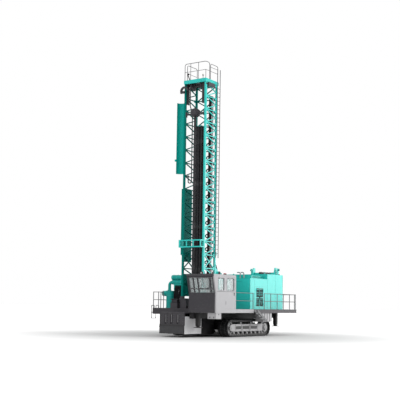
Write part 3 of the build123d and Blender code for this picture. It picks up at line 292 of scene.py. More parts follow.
finishes = {
    "teal_paint": surfaceFinish("mastTeal", tealLook),
    "dark_paint": surfaceFinish("frameGrey", darkLook),
    "light_paint": surfaceFinish("cabGrey", lightLook),
    "rail_paint": surfaceFinish("railGrey", railLook),
    "track_steel": surfaceFinish("trackIron", trackLook),
    "worn_steel": surfaceFinish("drillSteel", rodLook),
    "rod_chrome": surfaceFinish("ramChrome", chromeLook),
    "rubber": surfaceFinish("curtainRubber", rubberLook),
    "trim": surfaceFinish("blackTrim", trimLook),
}
wheelIron = surfaceFinish("wheelIron", wheelLook)
linkIron = surfaceFinish("linkIron", wheelLook, colour=(0.05, 0.05, 0.053, 1.0))
frameFittings = surfaceFinish("frameFittings", lightLook, colour=(0.27, 0.27, 0.28, 1.0), dust=0.4)
jointSteel = surfaceFinish("jointSteel", rodLook, colour=(0.03, 0.03, 0.032, 1.0))
jackIron = surfaceFinish("jackIron", rodLook, colour=(0.02, 0.02, 0.021, 1.0))
# a darker copy of the teal paint: painted shade for the house seams, intake bars, crown bolts and collector
# bands
tealPaintedShade = surfaceFinish("tealPaintedShade", tealLook, colour=(0.02, 0.30, 0.27, 1.0))
# a much darker, almost glossless copy of the teal paint: painted shade for the mast's far side and rear
# lacing
innerTealPaintedShade = surfaceFinish("innerTealPaintedShade", tealLook, colour=(0.002, 0.145, 0.122, 1.0), gloss=0.02)
# a darker, less glossy copy of the teal paint: painted shade on the hose guard
guardTealPaintedShade = surfaceFinish("guardTealPaintedShade", tealLook, colour=(0.004, 0.29, 0.25, 1.0), gloss=0.08)
# a lighter copy of the teal paint: painted light on the house end walls
frontTealPaintedLight = surfaceFinish("frontTealPaintedLight", tealLook, colour=(0.026, 0.52, 0.47, 1.0))
# a darker, less glossy copy of the teal paint: painted shade on the dust collector
collectorTealPaintedShade = surfaceFinish("collectorTealPaintedShade", tealLook, colour=(0.010, 0.26, 0.232, 1.0), gloss=0.1)
louvreGrey = surfaceFinish("louvreGrey", trimLook, colour=(0.03, 0.035, 0.036, 1.0))
sealGrey = surfaceFinish("sealGrey", trimLook, colour=(0.12, 0.12, 0.125, 1.0))
darkTrim = surfaceFinish("darkTrim", darkLook, colour=(0.045, 0.044, 0.048, 1.0))
# a near-black copy of the frame grey: painted shade under the deck
underGreyPaintedShade = surfaceFinish("underGreyPaintedShade", darkLook, colour=(0.014, 0.014, 0.015, 1.0), gloss=0.1)
flapGrey = surfaceFinish("flapGrey", rubberLook, colour=(0.05, 0.05, 0.053, 1.0))
# a lighter copy of the cab grey: painted light on the hood sides, which the cab shades; the mast air pipe
# also takes this pale grey
paleGreyAndPaintedLight = surfaceFinish("hoodSideGreyPaintedLight", lightLook, colour=(0.52, 0.52, 0.535, 1.0))
beaconRed = surfaceFinish("beaconRed", trimLook, colour=(0.32, 0.03, 0.03, 1.0), roughness=0.25)
lampLens = surfaceFinish("lampLens", trimLook, colour=(0.62, 0.63, 0.6, 1.0), roughness=0.15)


def makeCabGlass():
    look = {
        **commonLook,
        "colour": (0.55, 0.61, 0.61, 1.0),
        "roughness": 0.06,
        "alpha": 0.34,
        "gloss": 0.4,
        "bending": 1.45,
        "grainScale": 0.7,
        "contrast": 0.3,
    }
    material, shader, *_, toned = newFinish("cabGlass", look)
    clear = {"Base Color": toned, "Alpha": look["alpha"], "IOR": look["bending"]}
    fillNode(material.node_tree, shader, clear)
    return material


finishes["glass"] = makeCabGlass()
nodeFinishes = {
    "track_wheels": wheelIron,
    # painted shade: the main frame, carbody and jack barrels take the near-black grey copy
    "main_frame": underGreyPaintedShade,
    "carbody": underGreyPaintedShade,
    "jack_barrels": underGreyPaintedShade,
    # painted shade: the mast's far side and rear lacing take the much darker teal copy
    "mast_side_right": innerTealPaintedShade,
    "mast_rear_lacing": innerTealPaintedShade,
    "mast_rest": finishes["teal_paint"],
    # painted shade: the hose guard takes the darker teal copy
    "hose_guard": guardTealPaintedShade,
    # painted shade: the dust collector takes the darker teal copy
    "dust_collector": collectorTealPaintedShade,
    # painted light: the house end walls take the lighter teal copy
    "house_end_walls": frontTealPaintedLight,
    "front_curtain": flapGrey,
    # painted light: the hood sides take the lighter grey copy
    "hood_sides": paleGreyAndPaintedLight,
    "jack_leg_front_left": jackIron,
    "jack_leg_front_right": jackIron,
    "jack_leg_rear_left": jackIron,
    "jack_leg_rear_right": jackIron,
}
for part in frame["record"]["subparts"]:
    mesh = nodes[part["node"]].data
    mesh.materials.clear()
    mesh.materials.append(nodeFinishes.get(part["node"], finishes[part["material_slot"]]))
print("finishes made:", len(bpy.data.materials))


# floor, light and camera

def seenRays(tree):
    path = tree.nodes.new("ShaderNodeLightPath").outputs
    seen = path["Is Camera Ray"]
    for ray in ("Is Glossy Ray", "Is Transmission Ray"):
        seen = addMath(tree, "MAXIMUM", seen, path[ray])
    return seen


# the floor is seen a little darker near the machine, a painted shadow that fades out further away, and pale
# for the light that it throws back
def makeStage():
    look = {"size": 400.0, "paleness": 0.72, "near": 0.53, "far": 1.02, "paintedShadowFrom": 5.0, "paintedShadowTo": 22.0}
    mesh = bmesh.new()
    bmesh.ops.create_grid(mesh, x_segments=1, y_segments=1, size=look["size"])
    data = bpy.data.meshes.new("studioFloor")
    mesh.to_mesh(data)
    mesh.free()
    floor = bpy.data.objects.new("studioFloor", data)
    bpy.context.scene.collection.objects.link(floor)
    material = bpy.data.materials.new("paleFloorPaintedShadow")
    material.use_nodes = True
    tree = material.node_tree
    tree.nodes.clear()
    coords = tree.nodes.new("ShaderNodeTexCoord").outputs["Object"]
    # painted shadow: the seen floor colour rises smoothly from the near value by the machine to the far value
    # with distance
    away = addNode(tree, "ShaderNodeVectorMath", {0: coords}, operation="LENGTH")["Value"]
    reach = {"Value": away, "From Min": look["paintedShadowFrom"], "From Max": look["paintedShadowTo"]}
    paintedShadowShades = {"To Min": look["near"], "To Max": look["far"]}
    fade = addNode(tree, "ShaderNodeMapRange", {**reach, **paintedShadowShades}, interpolation_type="SMOOTHSTEP")
    plain = (look["paleness"],) * 3 + (1.0,)
    shade = mixColour(tree, seenRays(tree), plain, fade["Result"])
    diffuse = addNode(tree, "ShaderNodeBsdfDiffuse", {"Color": shade})
    addNode(tree, "ShaderNodeOutputMaterial", {"Surface": diffuse[0]})
    data.materials.append(material)


def makeWorld():
    look = {"light": 0.36, "seen": 1.0, "colour": (1.0, 1.0, 1.0, 1.0)}
    world = bpy.data.worlds.new("studioWorld")
    bpy.context.scene.world = world
    world.use_nodes = True
    tree = world.node_tree
    span = {"Value": seenRays(tree), "To Min": look["light"], "To Max": look["seen"]}
    level = addNode(tree, "ShaderNodeMapRange", span)
    fillNode(tree, tree.nodes["Background"], {"Color": look["colour"], "Strength": level["Result"]})


def placeLamp(name, light, towards):
    lamp = bpy.data.objects.new(name, light)
    lamp.rotation_mode = "QUATERNION"
    lamp.rotation_quaternion = Vector(towards).to_track_quat("-Z", "Y")
    bpy.context.scene.collection.objects.link(lamp)
    return lamp


def makeSuns():
    suns = {
        "sideSun": {"towards": (-0.85, -0.3, -0.42), "strength": 1.7, "angle": 25.0},
        "frontFill": {"towards": (-0.1, 0.85, -0.5), "strength": 1.4, "angle": 60.0},
        "topLight": {"towards": (0.0, 0.0, -1.0), "strength": 1.4, "angle": 120.0},
    }
    for name, sun in suns.items():
        light = bpy.data.lights.new(name, "SUN")
        light.energy = sun["strength"]
        light.angle = math.radians(sun["angle"])
        placeLamp(name, light, sun["towards"])


def makeSoftbox():
    box = {"place": (28.0, 38.0, 9.0), "aim": (0.0, 0.0, 6.0), "size": 30.0, "radiance": 5.0}
    light = bpy.data.lights.new("rearSoftbox", "AREA")
    light.size = box["size"]
    light.energy = box["radiance"] * math.pi * box["size"] ** 2
    lamp = placeLamp("rearSoftbox", light, Vector(box["aim"]) - Vector(box["place"]))
    lamp.location = box["place"]


def makeCamera():
    view = {
        "place": (33.76, -53.585, 2.15),
        "azimuth": 33.73,
        "pitch": 6.77,
        "roll": 0.841,
        "lens": 78.57,
        "sensor": 36.0,
        "shift": (-0.00185, 0.00298),
        "farthest": 1000.0,
    }
    data = bpy.data.cameras.new("photoCamera")
    data.sensor_width = view["sensor"]
    data.lens = view["lens"]
    data.shift_x, data.shift_y = view["shift"]
    data.clip_end = view["farthest"]
    camera = bpy.data.objects.new("photoCamera", data)
    turn = Matrix.Rotation(math.radians(view["azimuth"]), 4, "Z")
    tilt = Matrix.Rotation(math.radians(90.0 + view["pitch"]), 4, "X")
    roll = Matrix.Rotation(math.radians(view["roll"]), 4, "Z")
    camera.matrix_world = Matrix.Translation(view["place"]) @ turn @ tilt @ roll
    bpy.context.scene.collection.objects.link(camera)
    bpy.context.scene.camera = camera


makeStage()
makeWorld()
makeSuns()
makeSoftbox()
makeCamera()
bpy.context.scene.view_settings.view_transform = "Standard"
print("stage, light and camera set")


# mesh helpers for the added pieces

# seat is how far a piece sinks into what carries it, and rods with few sides keep flat faces
seat = 0.004
fineBevel = 0.003
flatSides = 8
boltShape = {"washer": 0.25, "head": 0.55, "foot": 0.75, "top": 0.68}


def addBox(mesh, low, high, bevel=0.0, turn=None):
    low, high = Vector(low), Vector(high)
    place = Matrix.Translation((low + high) / 2)
    if turn:
        place = place @ turn
    made = bmesh.ops.create_cube(mesh, size=1.0, matrix=place @ Matrix.Diagonal((*(high - low), 1.0)))
    if bevel:
        edges = {edge for vert in made["verts"] for edge in vert.link_edges}
        bmesh.ops.bevel(
            mesh, geom=list(edges), offset=bevel, segments=2, profile=0.5, affect="EDGES", material=-1
        )


def addRod(mesh, start, end, radius, endRadius=None, sides=16):
    start, end = Vector(start), Vector(end)
    run = end - start
    place = Matrix.Translation((start + end) / 2) @ run.to_track_quat("Z", "Y").to_matrix().to_4x4()
    made = bmesh.ops.create_cone(
        mesh,
        cap_ends=True,
        cap_tris=False,
        segments=sides,
        radius1=radius,
        radius2=radius if endRadius is None else endRadius,
        depth=run.length,
        matrix=place,
    )
    faces = {face for vert in made["verts"] for face in vert.link_faces}
    for face in faces:
        face.smooth = sides > flatSides and len(face.verts) == 4
    for face in faces:
        if not face.smooth:
            for edge in face.edges:
                edge.smooth = False


def addRing(mesh, centre, axis, inner, outer, height, steps=28):
    axis = Vector(axis).normalized()
    side = axis.orthogonal().normalized()
    centre = Vector(centre)
    corners = []
    for reach, rise in ((inner, 0.0), (outer, 0.0), (outer, height), (inner, height)):
        corners.append(mesh.verts.new(centre + side * reach + axis * rise))
    edges = [mesh.edges.new((corners[index], corners[(index + 1) % 4])) for index in range(4)]
    bmesh.ops.spin(
        mesh,
        geom=corners + edges,
        cent=centre,
        axis=axis,
        dvec=(0.0, 0.0, 0.0),
        angle=math.tau,
        steps=steps,
        use_merge=True,
        use_duplicate=False,
    )


def addBolt(mesh, place, outward, size):
    place, outward = Vector(place), Vector(outward).normalized()
    washer = place + outward * size * boltShape["washer"]
    head = washer + outward * size * boltShape["head"]
    addRod(mesh, place, washer, size, sides=12)
    addRod(mesh, washer, head, size * boltShape["foot"], size * boltShape["top"], sides=6)


def addBoltRow(mesh, start, step, count, outward, size):
    for number in range(count):
        addBolt(mesh, Vector(start) + Vector(step) * number, outward, size)


def addBoltCircle(mesh, centre, outward, radius, count, size, start=0.0):
    across = Vector((0, 1, 0)) if outward[0] else Vector((1, 0, 0))
    upward = Vector((0, 0, 1)) if outward[0] else Vector((0, 1, 0))
    for turn in range(count):
        angle = start + math.tau * turn / count
        spot = Vector(centre) + (across * math.cos(angle) + upward * math.sin(angle)) * radius
        addBolt(mesh, spot, outward, size)


# a frame round an opening in a side wall
def addFrame(mesh, xs, ys, zs, out, lap=0.0):
    (x0, x1), (y0, y1), (z0, z1) = xs, ys, zs
    addBox(mesh, (x0, y0 - out, z0 - out), (x1, y1 + out, z0 + lap), bevel=fineBevel)
    addBox(mesh, (x0, y0 - out, z1 - lap), (x1, y1 + out, z1 + out), bevel=fineBevel)
    addBox(mesh, (x0, y0 - out, z0), (x1, y0 + lap, z1), bevel=fineBevel)
    addBox(mesh, (x0, y1 - lap, z0), (x1, y1 + out, z1), bevel=fineBevel)


def addHose(mesh, start, middle, end, radius, steps=10, overlap=0.2):
    start, middle, end = Vector(start), Vector(middle), Vector(end)
    places = []
    for step in range(steps + 1):
        share = step / steps
        places.append(start.lerp(middle, share).lerp(middle.lerp(end, share), share))
    for first, second in zip(places, places[1:]):
        run = (second - first).normalized() * radius * overlap
        addRod(mesh, first - run, second + run, radius, sides=12)


def sideSpan(side, near, far):
    return sorted((side * near, side * far))


def placePiece(name, mesh, slotName, body, finish=None):
    bmesh.ops.recalc_face_normals(mesh, faces=mesh.faces)
    data = bpy.data.meshes.new(name)
    mesh.to_mesh(data)
    mesh.free()
    piece = bpy.data.objects.new(name, data)
    bpy.context.scene.collection.objects.link(piece)
    data.materials.append(finish or finishes[slotName])
    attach(piece, body)


# cab pieces

cabFront = {"knee": 2.87, "face": -5.765, "slope": 0.3 / 1.21, "proud": 0.006}


def onCabFront(x, z):
    y = cabFront["face"] - cabFront["slope"] * (z - cabFront["knee"]) - cabFront["proud"]
    return Vector((x, y, z))


def makeCabSeals():
    size = {
        "width": 0.018,
        "proud": 0.009,
        "z": (3.13, 3.91),
        "panes": (
            ("cabSideSeal", "chassis", (-5.525, -4.805)),
            ("cabDoorSeal", "cab_door", (-4.445, -3.555)),
        ),
    }
    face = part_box("cab_roof")[1].x
    for name, body, ys in size["panes"]:
        mesh = bmesh.new()
        addFrame(mesh, (face - seat, face + size["proud"]), ys, size["z"], size["width"])
        placePiece(name, mesh, "trim", body, sealGrey)


def makeCabFrontBars():
    size = {
        "rows": ((2.95, 3.17), (3.22, 3.91)),
        "columns": (1.15, 1.44, 1.79, 2.75, 2.94),
        "bar": 0.02,
        "inset": 0.05,
        "off": 0.012,
    }
    low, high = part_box("cab_wall_front")
    mesh = bmesh.new()
    for z0, z1 in size["rows"]:
        for z in (z0 - size["off"], z1 + size["off"]):
            start = onCabFront(low.x + size["inset"], z)
            addRod(mesh, start, onCabFront(high.x - size["inset"], z), size["bar"], sides=4)
    bottom, top = size["rows"][0][0], size["rows"][1][1]
    for x in size["columns"]:
        addRod(mesh, onCabFront(x, bottom), onCabFront(x, top), size["bar"], sides=4)
    placePiece("cabFrontBars", mesh, "trim", "chassis", sealGrey)


# visor at the roof's front edge, and two wipers
def makeCabFrontTrim():
    visor = {"low": (0.01, -0.02, -0.05), "side": 0.002, "rise": 0.01, "bevel": 0.006}
    wiper = {
        "xs": (1.95, 2.55),
        "foot": 3.195,
        "tip": 3.62,
        "reach": 0.3,
        "blade": (3.3, 3.86),
        "out": (0.0, -0.03, 0.0),
        "footR": 0.028,
        "armR": 0.011,
        "bladeR": 0.012,
    }
    low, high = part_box("cab_roof")
    mesh = bmesh.new()
    corner = (high.x - visor["side"], low.y + seat, high.z + visor["rise"])
    addBox(mesh, low + Vector(visor["low"]), corner, bevel=visor["bevel"])
    out = Vector(wiper["out"])
    for x in wiper["xs"]:
        foot = onCabFront(x, wiper["foot"])
        tip = onCabFront(x + wiper["reach"], wiper["tip"])
        addRod(mesh, foot, foot + out, wiper["footR"])
        addRod(mesh, foot + out, tip + out, wiper["armR"], sides=10)
        start, end = (onCabFront(x + wiper["reach"], z) + out for z in wiper["blade"])
        addRod(mesh, start, end, wiper["bladeR"], sides=10)
    placePiece("cabFrontTrim", mesh, "trim", "chassis", darkTrim)


# dark plate over the floor's front and the inner wall's front edge
def makeCabFrontSkirt():
    size = {"proud": 0.008, "lip": 0.006, "lap": 0.002}
    face, knee, slope = cabFront["face"], cabFront["knee"], cabFront["slope"]
    low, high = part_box("cab_wall_front")
    floorLow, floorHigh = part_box("cab_floor")
    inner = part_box("cab_roof")[0].x
    y0, y1 = face - size["proud"], face + seat
    mesh = bmesh.new()
    addBox(mesh, (inner, y0, floorLow.z + seat), (high.x, y1, floorHigh.z + size["lip"]), bevel=fineBevel)
    addBox(mesh, (inner, y0, floorHigh.z), (low.x + seat, y1, knee), bevel=fineBevel)
    middle = onCabFront((inner + low.x) / 2, (knee + high.z) / 2)
    tall = (high.z - knee) / 2 * math.hypot(1.0, slope)
    half = Vector(((low.x - inner) / 2 + size["lap"], size["proud"], tall))
    addBox(mesh, middle - half, middle + half, turn=Matrix.Rotation(math.atan(slope), 4, "X"))
    placePiece("cabFrontSkirt", mesh, "dark_paint", "chassis")


def makeCabSideTrim():
    belt = {"z": (3.03, 3.052), "proud": 0.006, "front": 0.35, "gap": 0.03, "end": 0.01, "hinge": 0.06}
    handle = {"back": 0.09, "half": 0.035, "z": (2.78, 2.98), "proud": 0.014, "out": 0.05}
    stem = {"foot": 0.012, "z": 2.94, "r": 0.011}
    grip = {"start": 2.955, "end": 2.93, "long": 0.13, "r": (0.012, 0.009)}
    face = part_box("cab_roof")[1].x
    doorLow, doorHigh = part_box("cab_door")
    wallLow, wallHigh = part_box("cab_wall_outer")

    def addBelt(mesh, y0, y1):
        z0, z1 = belt["z"]
        addBox(mesh, (face - seat, y0, z0), (face + belt["proud"], y1, z1), bevel=0.002)

    mesh = bmesh.new()
    addBelt(mesh, wallLow.y + belt["front"], doorLow.y - belt["gap"])
    addBelt(mesh, doorHigh.y + belt["gap"], wallHigh.y - belt["end"])
    placePiece("cabBelt", mesh, "trim", "chassis", darkTrim)
    mesh = bmesh.new()
    addBelt(mesh, doorLow.y + belt["hinge"], doorHigh.y - belt["end"])
    y, out = doorHigh.y - handle["back"], face + handle["out"]
    z0, z1 = handle["z"]
    high = (face + handle["proud"], y + handle["half"], z1)
    addBox(mesh, (face - seat, y - handle["half"], z0), high, bevel=0.005)
    addRod(mesh, (face + stem["foot"], y, stem["z"]), (out, y, stem["z"]), stem["r"], sides=12)
    addRod(mesh, (out, y, grip["start"]), (out, y - grip["long"], grip["end"]), *grip["r"], sides=12)
    placePiece("cabDoorHandle", mesh, "trim", "cab_door", darkTrim)


def makeLampLenses():
    lamp = {"xs": (2.07, 2.883), "z": 4.225, "r": 0.058, "out": 0.012, "sunk": 0.01, "taper": 0.8}
    rim = {"r": 0.07, "sunk": 0.005, "long": 0.02}
    beacon = {"place": (2.85, -4.265, 4.21), "r": 0.1, "topR": 0.06, "heights": (-0.012, 0.022, 0.05)}
    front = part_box("cab_lamps")[0].y
    mesh = bmesh.new()
    rims = bmesh.new()
    for x in lamp["xs"]:
        start, end = (x, front + lamp["sunk"], lamp["z"]), (x, front - lamp["out"], lamp["z"])
        addRod(mesh, start, end, lamp["r"], lamp["r"] * lamp["taper"], sides=24)
        addRing(rims, (x, front + rim["sunk"], lamp["z"]), (0, -1, 0), lamp["r"], rim["r"], rim["long"])
    placePiece("workLampLenses", mesh, "glass", "chassis", lampLens)
    placePiece("workLampRims", rims, "trim", "chassis")
    mesh = bmesh.new()
    foot, shoulder, top = (Vector(beacon["place"]) + Vector((0, 0, rise)) for rise in beacon["heights"])
    addRod(mesh, foot, shoulder, beacon["r"], sides=24)
    addRod(mesh, shoulder, top, beacon["r"], beacon["topR"], sides=24)
    placePiece("beaconLens", mesh, "trim", "chassis", beaconRed)


# machinery house pieces

def makeLouvres():
    size = {
        "leaves": (("house_door_front", 0.8858, 1.292), ("house_door_rear", 1.398, 1.8042)),
        "rows": ((2.13, 2.68), (2.77, 3.37)),
        "blades": 8,
        "tilt": 38.0,
        "plate": 0.008,
        "sunk": 0.008,
        "overlap": 0.52,
        "rim": 0.02,
        "rimProud": 0.008,
    }
    latch = {"off": 0.025, "half": 0.016, "z": (2.66, 2.84), "proud": 0.016}
    pin = {"x": (0.014, 0.034), "z": 2.79, "r": 0.013}
    lever = {"x": (0.028, 0.038), "half": 0.012, "z": (2.66, 2.81)}
    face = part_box("house_roof")[1].x
    lean = Matrix.Rotation(math.radians(size["tilt"]), 4, "Y")
    middle, half = face - size["sunk"], size["plate"] / 2
    for body, y0, y1 in size["leaves"]:
        mesh = bmesh.new()
        for z0, z1 in size["rows"]:
            step = (z1 - z0) / size["blades"]
            for number in range(size["blades"]):
                z = z0 + (number + 0.5) * step
                low = (middle - half, y0 + seat, z - step * size["overlap"])
                addBox(mesh, low, (middle + half, y1 - seat, z + step * size["overlap"]), turn=lean)
            addFrame(mesh, (face - seat, face + size["rimProud"]), (y0, y1), (z0, z1), size["rim"], seat)
        placePiece(body + "_louvres", mesh, "trim", body, louvreGrey)
        mesh = bmesh.new()
        y = y1 + latch["off"] if body.endswith("front") else y0 - latch["off"]
        z0, z1 = latch["z"]
        high = (face + latch["proud"], y + latch["half"], z1)
        addBox(mesh, (face - seat, y - latch["half"], z0), high, bevel=0.004)
        start, end = ((face + out, y, pin["z"]) for out in pin["x"])
        addRod(mesh, start, end, pin["r"], sides=12)
        (x0, x1), (z0, z1) = lever["x"], lever["z"]
        high = (face + x1, y + lever["half"], z1)
        addBox(mesh, (face + x0, y - lever["half"], z0), high, bevel=fineBevel)
        placePiece(body + "_latch", mesh, "trim", body)


def makeHouseSeams():
    size = {"half": 0.012, "proud": 0.005, "sunk": 0.003, "foot": 0.06, "inset": 0.05, "tops": (3.98, 4.38)}
    bolt = {"r": 0.014, "pitch": 0.32, "off": 0.035, "first": 0.14, "ends": 0.2}
    eye = {"xs": (-1.9, 1.9), "ys": (2.75, 4.6), "z": 4.45, "rise": 0.07, "half": 0.02, "r": (0.04, 0.075)}
    low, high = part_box("house_roof")
    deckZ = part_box("house_side_walls")[0].z
    frontTop, rearTop = size["tops"]
    seams = {
        low.y + size["inset"]: frontTop,
        0.62: frontTop,
        2.465: rearTop,
        3.65: rearTop,
        high.y - size["inset"]: rearTop,
    }
    mesh = bmesh.new()
    bolts = bmesh.new()
    for side in (-1, 1):
        x0, x1 = sideSpan(side, high.x - size["sunk"], high.x + size["proud"])
        for y, top in seams.items():
            corner = (x1, y + size["half"], top)
            addBox(mesh, (x0, y - size["half"], deckZ + size["foot"]), corner, bevel=0.002)
            count = int((top - deckZ - bolt["ends"]) / bolt["pitch"]) + 1
            for off in (-bolt["off"], bolt["off"]):
                start = (side * high.x, y + off, deckZ + bolt["first"])
                addBoltRow(bolts, start, (0, 0, bolt["pitch"]), count, (side, 0, 0), bolt["r"])
    half, z = eye["half"], eye["z"]
    for x in eye["xs"]:
        for y in eye["ys"]:
            addRing(mesh, (x - half, y, z + eye["rise"]), (1, 0, 0), *eye["r"], 2 * half)
            foot = (x - half, y - eye["rise"], z - seat)
            addBox(mesh, foot, (x + half, y + eye["rise"], z + 0.03), bevel=0.004)
    # the seams and lifting eyes take the darker teal copy: painted shade
    placePiece("houseSeams", mesh, "teal_paint", "chassis", tealPaintedShade)
    placePiece("houseBolts", bolts, "teal_paint", "chassis")


def makeIntakeBars():
    size = {"count": 26, "half": 0.012, "x": (1.97, 1.99), "y": (0.755, 2.385), "z": (4.11, 4.27)}
    (x0, x1), (y0, y1), (z0, z1) = size["x"], size["y"], size["z"]
    mesh = bmesh.new()
    for number in range(size["count"]):
        y = y0 + (number + 0.5) * (y1 - y0) / size["count"]
        addBox(mesh, (x0, y - size["half"], z0), (x1, y + size["half"], z1), bevel=0.002)
    # the intake bars take the darker teal copy: painted shade in the roof intake
    placePiece("intakeBars", mesh, "teal_paint", "chassis", tealPaintedShade)


def makeCoolerGuard():
    size = {"bar": 0.009, "columns": 40, "rows": 5, "x": 1.9, "z": (2.2, 4.2), "barY": 0.014}
    band = {"y": (0.022, 0.006), "half": 0.02}
    bolt = {"count": 12, "off": 0.05, "r": 0.018}
    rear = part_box("house_roof")[1].y
    half, (z0, z1) = size["x"], size["z"]
    mesh = bmesh.new()
    for number in range(size["columns"]):
        x = -half + (number + 0.5) * 2 * half / size["columns"]
        addRod(mesh, (x, rear - size["barY"], z0), (x, rear - size["barY"], z1), size["bar"], sides=8)
    y0, y1 = (rear - depth for depth in band["y"])
    for number in range(size["rows"]):
        z = z0 + (number + 0.5) * (z1 - z0) / size["rows"]
        addBox(mesh, (-half, y0, z - band["half"]), (half, y1, z + band["half"]))
    step = (2 * half / (bolt["count"] - 1), 0, 0)
    for z in (z0 - bolt["off"], z1 + bolt["off"]):
        addBoltRow(mesh, (-half, rear, z), step, bolt["count"], (0, 1, 0), bolt["r"])
    placePiece("coolerGuard", mesh, "trim", "chassis")


def makeMufflerFittings():
    size = {"x": 1.5, "z": 4.55, "r": 0.085, "straps": (2.965, 3.425, 3.905), "wide": 0.05, "thick": 0.008}
    tail = {"y": (4.13, 4.30), "rise": 0.05, "r": 0.045}
    mouth = {"y": 4.29, "rise": 0.047, "axis": (0, 0.96, 0.28), "r": (0.036, 0.052), "long": 0.03}
    x, z, r = size["x"], size["z"], size["r"]
    mesh = bmesh.new()
    for y in size["straps"]:
        start = (x, y - size["wide"] / 2, z)
        addRing(mesh, start, (0, 1, 0), r - seat, r + size["thick"], size["wide"])
        addBolt(mesh, (x + r + 0.006, y, z), (1, 0, 0), 0.014)
    y0, y1 = tail["y"]
    addRod(mesh, (x, y0, z), (x, y1, z + tail["rise"]), tail["r"], sides=20)
    addRing(mesh, (x, mouth["y"], z + mouth["rise"]), mouth["axis"], *mouth["r"], mouth["long"])
    placePiece("mufflerFittings", mesh, "trim", "chassis")


# horns on the mast rest, outside the ladder of the lowered mast
def makeRestHorns():
    size = {"fork": 1.005, "x": (1.11, 1.19), "y": (6.03, 6.26), "z": (4.47, 4.59, 5.03), "bevel": 0.01}
    tip = {"lean": 14.0, "shift": 0.025, "low": 0.24, "joint": 0.2, "lap": 0.02, "bevel": 0.012}
    pin = {"sunk": 0.03, "out": 0.1, "knob": 0.04, "r": 0.036, "knobR": 0.06, "down": 0.12}
    horns = bmesh.new()
    pins = bmesh.new()
    (near, far), (y0, y1), (footLow, footHigh, top) = size["x"], size["y"], size["z"]
    y = (y0 + y1) / 2
    for side in (-1, 1):
        x0, x1 = sideSpan(side, size["fork"] - seat, far)
        addBox(horns, (x0, y0, footLow), (x1, y1, footHigh), bevel=size["bevel"])
        x0, x1 = sideSpan(side, near, far)
        addBox(horns, (x0, y0, footHigh - tip["lap"]), (x1, y1, top - tip["joint"]), bevel=size["bevel"])
        lean = Matrix.Rotation(math.radians(side * tip["lean"]), 4, "Y")
        shift = side * tip["shift"]
        low, high = (x0 + shift, y0, top - tip["low"]), (x1 + shift, y1, top)
        addBox(horns, low, high, bevel=tip["bevel"], turn=lean)
        inner, outer = side * (far - pin["sunk"]), side * (far + pin["out"])
        for z in ((footLow + footHigh) / 2, top - pin["down"]):
            addRod(pins, (inner, y, z), (outer, y, z), pin["r"], sides=12)
            addRod(pins, (outer - side * pin["knob"], y, z), (outer, y, z), pin["knobR"])
    placePiece("restHorns", horns, "teal_paint", "chassis")
    placePiece("restPins", pins, "trim", "chassis")


# tracks

track = {"front": -2.565, "rear": 2.235, "centre": 0.6, "pitchR": 0.555}


# a place on the track loop and its outward direction, at a distance along the loop
def trackPlace(distance, reach):
    run = track["rear"] - track["front"]
    arc = math.pi * track["pitchR"]
    distance %= 2 * (run + arc)
    if distance < run:
        return Vector((0, track["front"] + distance, track["centre"] + reach)), Vector((0, 0, 1))
    distance -= run
    if distance < arc:
        turn = math.pi / 2 - distance / track["pitchR"]
        out = Vector((0, math.cos(turn), math.sin(turn)))
        return Vector((0, track["rear"], track["centre"])) + out * reach, out
    distance -= arc
    if distance < run:
        return Vector((0, track["rear"] - distance, track["centre"] - reach)), Vector((0, 0, -1))
    distance -= run
    turn = -math.pi / 2 - distance / track["pitchR"]
    out = Vector((0, math.cos(turn), math.sin(turn)))
    return Vector((0, track["front"], track["centre"])) + out * reach, out


# shoe bolts, left off where the shoes stand on the ground, and chain links
def makeTrackChain():
    size = {"shoes": 46, "shoeX": 1.985, "bolt": 0.022, "boltX": (-0.16, 0.16), "boltR": 0.553}
    shares = {"bolts": (0.24, 0.76), "link": 0.5, "ground": -0.95}
    link = {"x": 2.232, "r": 0.445, "half": (0.013, 0.115, 0.04), "bevel": 0.008}
    pin = {"offs": (-0.07, 0.07), "long": 0.03, "r": 0.026}
    step = 2 * (track["rear"] - track["front"] + math.pi * track["pitchR"]) / size["shoes"]
    bolts = bmesh.new()
    links = bmesh.new()
    half = Vector(link["half"])
    for shoe in range(size["shoes"]):
        for share in shares["bolts"]:
            place, out = trackPlace((shoe + share) * step, size["boltR"])
            if out.z < shares["ground"]:
                continue
            for side in (-1, 1):
                for x in size["boltX"]:
                    addBolt(bolts, place + Vector((side * size["shoeX"] + x, 0, 0)), out, size["bolt"])
        place, out = trackPlace((shoe + shares["link"]) * step, link["r"])
        along = Vector((0, out.z, -out.y))
        turn = Matrix((Vector((1, 0, 0)), along, out)).transposed().to_4x4()
        for side in (-1, 1):
            spot = place + Vector((side * link["x"], 0, 0))
            addBox(links, spot - half, spot + half, bevel=link["bevel"], turn=turn)
            for off in pin["offs"]:
                start = spot + along * off
                addRod(links, start, start + Vector((side * pin["long"], 0, 0)), pin["r"], sides=12)
    placePiece("shoeBolts", bolts, "track_steel", "chassis", wheelIron)
    placePiece("trackLinks", links, "track_steel", "chassis", linkIron)


